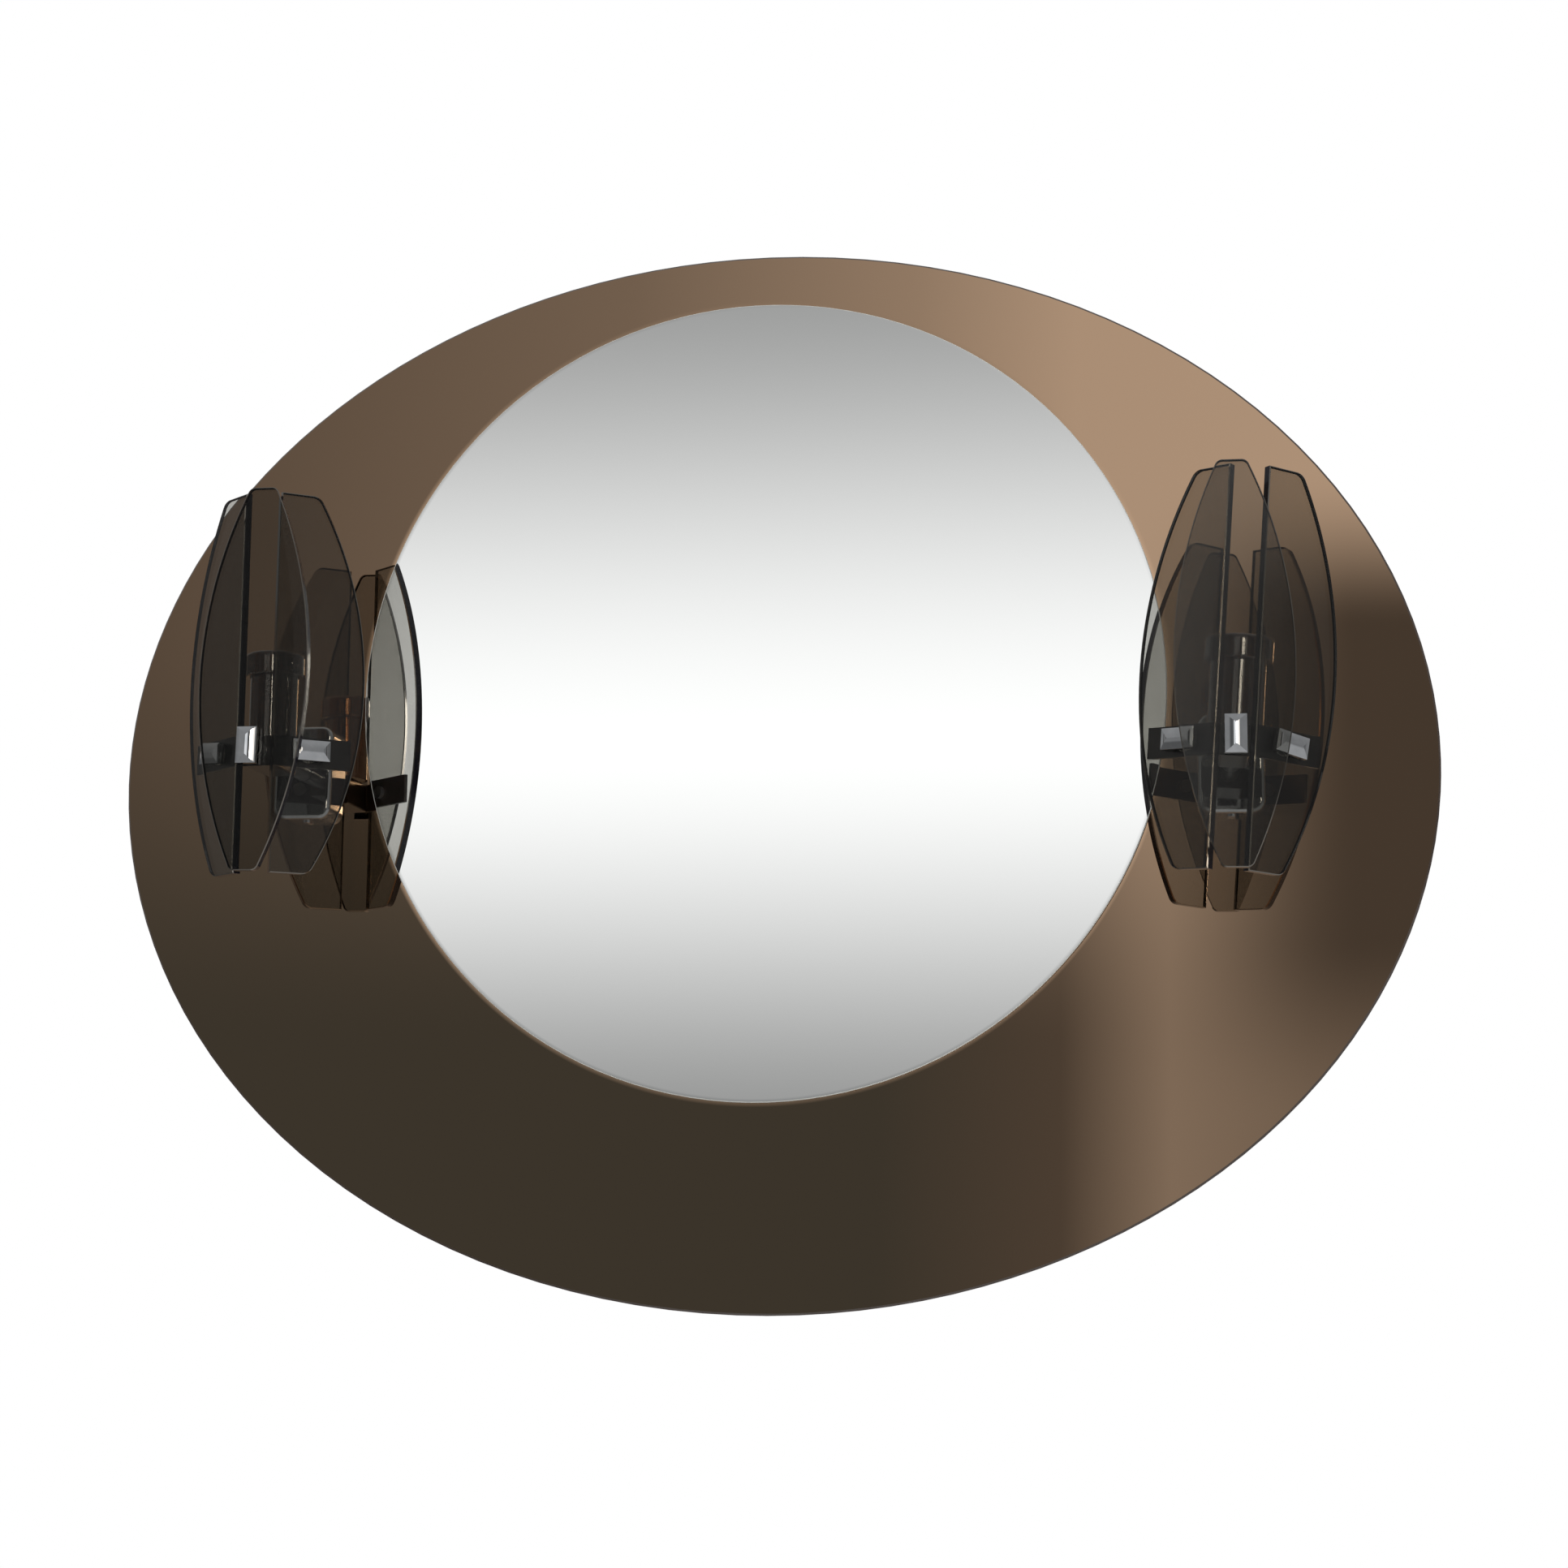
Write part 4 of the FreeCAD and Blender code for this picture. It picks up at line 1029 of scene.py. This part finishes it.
@dataclass
class Room:
    """What gloss and glass show, by direction: slopes across and upward from the mirror's own axis."""

    tree: Tree
    card_centre: Triple = (-0.1718, 0.2160, 0.0)
    card_radius: float = 0.1783
    card_edge_share: float = 0.01
    card_foot: Fade = Fade(start=0.012, end=0.202, first=0.32, last=1.15)
    card_top: Fade = Fade(start=0.18, end=0.42, first=1.15, last=0.36)
    wall_span: Span = (-0.5, 0.14)
    wall_rise: Span = (0.06, 0.26)
    high_levels: Levels = ((0.0, 0.125), (0.42, 0.26), (0.62, 0.44), (0.73, 0.63), (1.0, 0.66))
    low_levels: Levels = ((0.72, 0.11), (0.79, 0.33), (0.88, 0.25), (1.0, 0.2))
    dim: Colour = (0.069, 0.08, 0.083, 1.0)
    dim_end: float = 0.6
    # The doorway's edges fade from the first slope to the second.
    jamb: Span = (-0.01, 0.085)
    lintel: Span = (0.31, 0.24)
    threshold: Span = (0.03, 0.11)
    beyond: Levels = ((0.2, 0.09), (0.3, 0.27))
    near_levels: Levels = ((0.0, 0.2), (0.08, 0.32), (0.5, 0.3), (0.96, 0.27), (1.0, 0.15))
    near_edge: Span = (0.78, 0.855)
    ceiling_edge: Span = (0.5, 0.8)
    ceiling: float = 0.36
    floor_levels: Levels = ((0.0, 0.12), (0.25, 0.15), (0.4, 0.5), (1.0, 0.45))
    floor_edge: Span = (-0.08, -0.2)
    window_span: Span = (0.17, 0.52)
    window_levels: Levels = ((0.0, 0.0), (0.02, 14.0), (0.52, 14.0), (0.56, 1.4), (0.96, 1.4), (1.0, 0.0))
    window_tint: Colour = (1.0, 0.92, 0.82, 1.0)
    window_ahead: float = 0.05
    sill: float = 0.1
    head: float = 0.27
    # Slopes are taken over no less than this much ahead.
    least_ahead: float = 0.02
    x: Socket = field(init=False)
    z: Socket = field(init=False)
    ahead: Socket = field(init=False)
    across: Socket = field(init=False)
    upward: Socket = field(init=False)
    turn: Socket = field(init=False)

    def __post_init__(self) -> None:
        """Finds how far each direction goes ahead, across and upward, and how far it turns aside."""
        way = add_node(self.tree, "TexCoord", out="Generated")
        self.x, depth, self.z = (add_node(self.tree, "SeparateXYZ", {"Vector": way}, axis) for axis in "XYZ")
        self.ahead = add_node(self.tree, "Math", {"Value": depth, "Value_001": -1.0}, operation="MULTIPLY")
        least = {"Value": self.ahead, "Value_001": self.least_ahead}
        safe = add_node(self.tree, "Math", least, operation="MAXIMUM")
        self.across, self.upward = (
            add_node(self.tree, "Math", {"Value": part, "Value_001": safe}, operation="DIVIDE")
            for part in (self.x, self.z)
        )
        self.turn = add_node(self.tree, "MapRange", {"Value": self.x, "From Min": -1.0, "From Max": 1.0})

    def eased(self, value: Socket, *edges: Span) -> Socket:
        """How far a direction lies inside soft edges.

        Args:
            value: what the edges are set on.
            edges: where each edge leaves nought and where it comes to one.

        Returns:
            One inside all the edges and nought outside.
        """
        inside = None
        for start, end in edges:
            span = {"Value": value, "From Min": start, "From Max": end}
            edge = add_node(self.tree, "MapRange", span, interpolation_type="SMOOTHSTEP")
            both = {"Value": edge, "Value_001": 1.0 if inside is None else inside}
            inside = add_node(self.tree, "Math", both, operation="MULTIPLY")
        return inside

    def card(self) -> Socket:
        """The card's own light, brightest across its middle."""
        low, high = (half.draw(self.tree, self.upward) for half in (self.card_foot, self.card_top))
        return add_node(self.tree, "Math", {"Value": low, "Value_001": high}, operation="MINIMUM")

    def on_card(self) -> Socket:
        """Which directions meet the round card.

        Returns:
            One on the card and nought off it.
        """
        slopes = add_node(self.tree, "CombineXYZ", {"X": self.across, "Y": self.upward})
        ends = {"Vector": slopes, "Vector_001": self.card_centre}
        reach = add_node(self.tree, "VectorMath", ends, "Value", operation="DISTANCE")
        outer = self.card_radius * (1.0 + self.card_edge_share)
        inner = self.card_radius * (1.0 - self.card_edge_share)
        return add_node(self.tree, "MapRange", {"Value": reach, "From Min": outer, "From Max": inner})

    def far_wall(self) -> Socket:
        """The wall round the card: dim below and on the left, and lighter on the right.

        Returns:
            The colour's socket.
        """
        span = {"Value": self.across, "From Min": self.wall_span[0], "From Max": self.wall_span[1]}
        side = add_node(self.tree, "MapRange", span)
        lows = [(0.0, self.dim), (self.dim_end, self.dim), *greys(self.low_levels)]
        levels = {
            "Factor_Float": self.eased(self.upward, self.wall_rise),
            "A_Color": add_node(self.tree, "ValToRGB", {"Fac": side}, stops=lows),
            "B_Color": add_node(self.tree, "ValToRGB", {"Fac": side}, stops=greys(self.high_levels)),
        }
        return add_node(self.tree, "Mix", levels, **IN_COLOUR)

    def doorway(self, wall: Socket) -> Socket:
        """Opens a dim doorway in the wall.

        Args:
            wall: the colour of the wall.

        Returns:
            The colour's socket.
        """
        upright = self.eased(self.upward, self.lintel, self.threshold)
        sides = {"Value": self.eased(self.across, self.jamb), "Value_001": upright}
        (start, near), (end, far) = self.beyond
        fade = self.eased(self.across, (start, end))
        space = {"Factor_Float": fade, "A_Color": grey(near), "B_Color": grey(far)}
        whole = {
            "Factor_Float": add_node(self.tree, "Math", sides, operation="MULTIPLY"),
            "A_Color": wall,
            "B_Color": add_node(self.tree, "Mix", space, **IN_COLOUR),
        }
        return add_node(self.tree, "Mix", whole, **IN_COLOUR)

    def near_walls(self) -> Socket:
        """The grey walls beside the mirror under a paler ceiling.

        Returns:
            The colour's socket.
        """
        span = {"Value": self.z, "From Min": self.ceiling_edge[0], "From Max": self.ceiling_edge[1]}
        levels = {
            "Factor_Float": add_node(self.tree, "MapRange", span),
            "A_Color": add_node(self.tree, "ValToRGB", {"Fac": self.turn}, stops=greys(self.near_levels)),
            "B_Color": grey(self.ceiling),
        }
        return add_node(self.tree, "Mix", levels, **IN_COLOUR)

    def footed(self, walls: Socket) -> Socket:
        """Sets the walls on a floor that is dim on the left and paler on the right.

        Args:
            walls: the colour of the walls.

        Returns:
            The colour's socket.
        """
        levels = {
            "Factor_Float": self.eased(self.z, self.floor_edge),
            "A_Color": walls,
            "B_Color": add_node(self.tree, "ValToRGB", {"Fac": self.turn}, stops=greys(self.floor_levels)),
        }
        return add_node(self.tree, "Mix", levels, **IN_COLOUR)

    def opening(self) -> Socket:
        """Which directions meet the window, for all but what the bare flat mirrors show.

        Returns:
            One in the opening and nought outside.
        """
        depth = add_node(self.tree, "LightPath", out="Transmission Depth")
        bare = add_node(self.tree, "Math", {"Value": depth, "Value_001": NO_BOUNCE}, operation="LESS_THAN")
        sharp = add_node(self.tree, "LightPath", out="Is Singular Ray")
        flat = add_node(self.tree, "Math", {"Value": sharp, "Value_001": bare}, operation="MULTIPLY")
        inside = add_node(self.tree, "Math", {"Value": 1.0, "Value_001": flat}, operation="SUBTRACT")
        above = (self.upward, "GREATER_THAN", self.sill)
        below = (self.upward, "LESS_THAN", self.head)
        before = (self.ahead, "GREATER_THAN", self.window_ahead)
        for value, test, limit in (above, below, before):
            met = add_node(self.tree, "Math", {"Value": value, "Value_001": limit}, operation=test)
            inside = add_node(self.tree, "Math", {"Value": inside, "Value_001": met}, operation="MULTIPLY")
        return inside

    def window(self) -> Socket:
        """The window's light, strongest at its near side.

        Returns:
            The colour's socket, black off the window.
        """
        span = {"Value": self.across, "From Min": self.window_span[0], "From Max": self.window_span[1]}
        strip = add_node(self.tree, "MapRange", span)
        light = add_node(self.tree, "ValToRGB", {"Fac": strip}, stops=greys(self.window_levels))
        tints = {"Factor_Float": 1.0, "A_Color": light, "B_Color": self.window_tint}
        tinted = add_node(self.tree, "Mix", tints, **IN_COLOUR, blend_type="MULTIPLY")
        whole = {"Factor_Float": self.opening(), "A_Color": grey(0.0), "B_Color": tinted}
        return add_node(self.tree, "Mix", whole, **IN_COLOUR)

    def build(self) -> Socket:
        """Puts the room together.

        Returns:
            The room's colour socket.
        """
        wall = self.doorway(self.far_wall())
        ahead = {"Factor_Float": self.on_card(), "A_Color": wall, "B_Color": self.card()}
        walls = {
            "Factor_Float": self.eased(self.ahead, self.near_edge),
            "A_Color": self.near_walls(),
            "B_Color": add_node(self.tree, "Mix", ahead, **IN_COLOUR),
        }
        around = self.footed(add_node(self.tree, "Mix", walls, **IN_COLOUR))
        whole = {"Factor_Float": 1.0, "A_Color": around, "B_Color": self.window()}
        return add_node(self.tree, "Mix", whole, **IN_COLOUR, blend_type="ADD")


@dataclass(frozen=True)
class SoftLight:
    """A soft square light: where it hangs, its side in metres and its watts."""

    name: str
    place: Triple
    size: float
    power: float

    def hang(self) -> bpy.types.Object:
        """Hangs the light, facing the mirror and out of what gloss and glass show.

        Returns:
            The light object.
        """
        data = bpy.data.lights.new(self.name, "AREA")
        data.shape = "SQUARE"
        data.size = self.size
        data.energy = self.power
        light = bpy.data.objects.new(self.name, data)
        bpy.context.scene.collection.objects.link(light)
        light.matrix_world = pointing(self.place, Vector(self.place).normalized())
        light.visible_glossy = False
        light.visible_transmission = False
        return light


@dataclass
class Studio:
    """A pale floor, soft lights and the room that the mirrors and chrome show."""

    floor_height: float = -1.2
    floor_half: float = 3.0
    even_light: float = 0.6
    lights: tuple[SoftLight, ...] = (
        SoftLight("key", place=(-2.2, -1.8, 1.9), size=1.4, power=36.0),
        SoftLight("fill", place=(2.4, -1.6, 0.9), size=1.2, power=20.0),
        SoftLight("behind", place=(0.6, 2.2, 1.8), size=1.6, power=30.0),
    )

    def floor(self) -> bpy.types.Object:
        """Lays the floor well below the mirror.

        Returns:
            The floor object.
        """
        mesh = bmesh.new()
        bmesh.ops.create_grid(mesh, x_segments=2, y_segments=2, size=self.floor_half)
        bmesh.ops.translate(mesh, verts=mesh.verts, vec=(0, 0, self.floor_height))
        data = bpy.data.meshes.new("floor")
        mesh.to_mesh(data)
        mesh.free()
        data.materials.append(PAPER.make())
        floor = bpy.data.objects.new("floor", data)
        bpy.context.scene.collection.objects.link(floor)
        floor.visible_glossy = False
        return floor

    def world(self) -> None:
        """White to the camera and straight through glass, even light to dull surfaces, the room to gloss."""
        world = bpy.data.worlds.new("studio")
        bpy.context.scene.world = world
        world.use_nodes = True
        tree = world.node_tree
        tree.nodes.clear()
        wanted = ("Is Camera Ray", "Is Diffuse Ray", "Is Transmission Ray", "Glossy Depth")
        direct, dull, through, mirrored = (add_node(tree, "LightPath", out=name) for name in wanted)
        surroundings = {"Factor_Float": dull, "A_Color": Room(tree).build(), "B_Color": grey(self.even_light)}
        straight = add_node(tree, "Math", {"Value": mirrored, "Value_001": NO_BOUNCE}, operation="LESS_THAN")
        in_glass = add_node(tree, "Math", {"Value": through, "Value_001": straight}, operation="MULTIPLY")
        seen = add_node(tree, "Math", {"Value": direct, "Value_001": in_glass}, operation="MAXIMUM")
        whole = {
            "Factor_Float": seen,
            "A_Color": add_node(tree, "Mix", surroundings, **IN_COLOUR),
            "B_Color": grey(1.0),
        }
        colour = add_node(tree, "Mix", whole, **IN_COLOUR)
        light = add_node(tree, "Background", {"Color": colour, "Strength": 1.0})
        add_node(tree, "OutputWorld", {"Surface": light})


def main() -> None:
    """Builds the object, the studio and the camera."""
    logging.basicConfig(level=logging.INFO, format="%(message)s")
    bpy.context.scene.view_settings.view_transform = "Standard"
    MirrorPlate().dress()
    fittings = BackFittings()
    fittings.dress()
    fittings.wood_screws()
    fittings.terminal_screws()
    fixings = WallFixings()
    fixings.dress()
    fixings.box_screws()
    for side in Side:
        sconce = Sconce(side)
        sconce.dress()
        sconce.thread()
    studio = Studio()
    studio.floor()
    for light in studio.lights:
        light.hang()
    studio.world()
    Viewpoint().build()


if __name__ == "__main__":
    main()
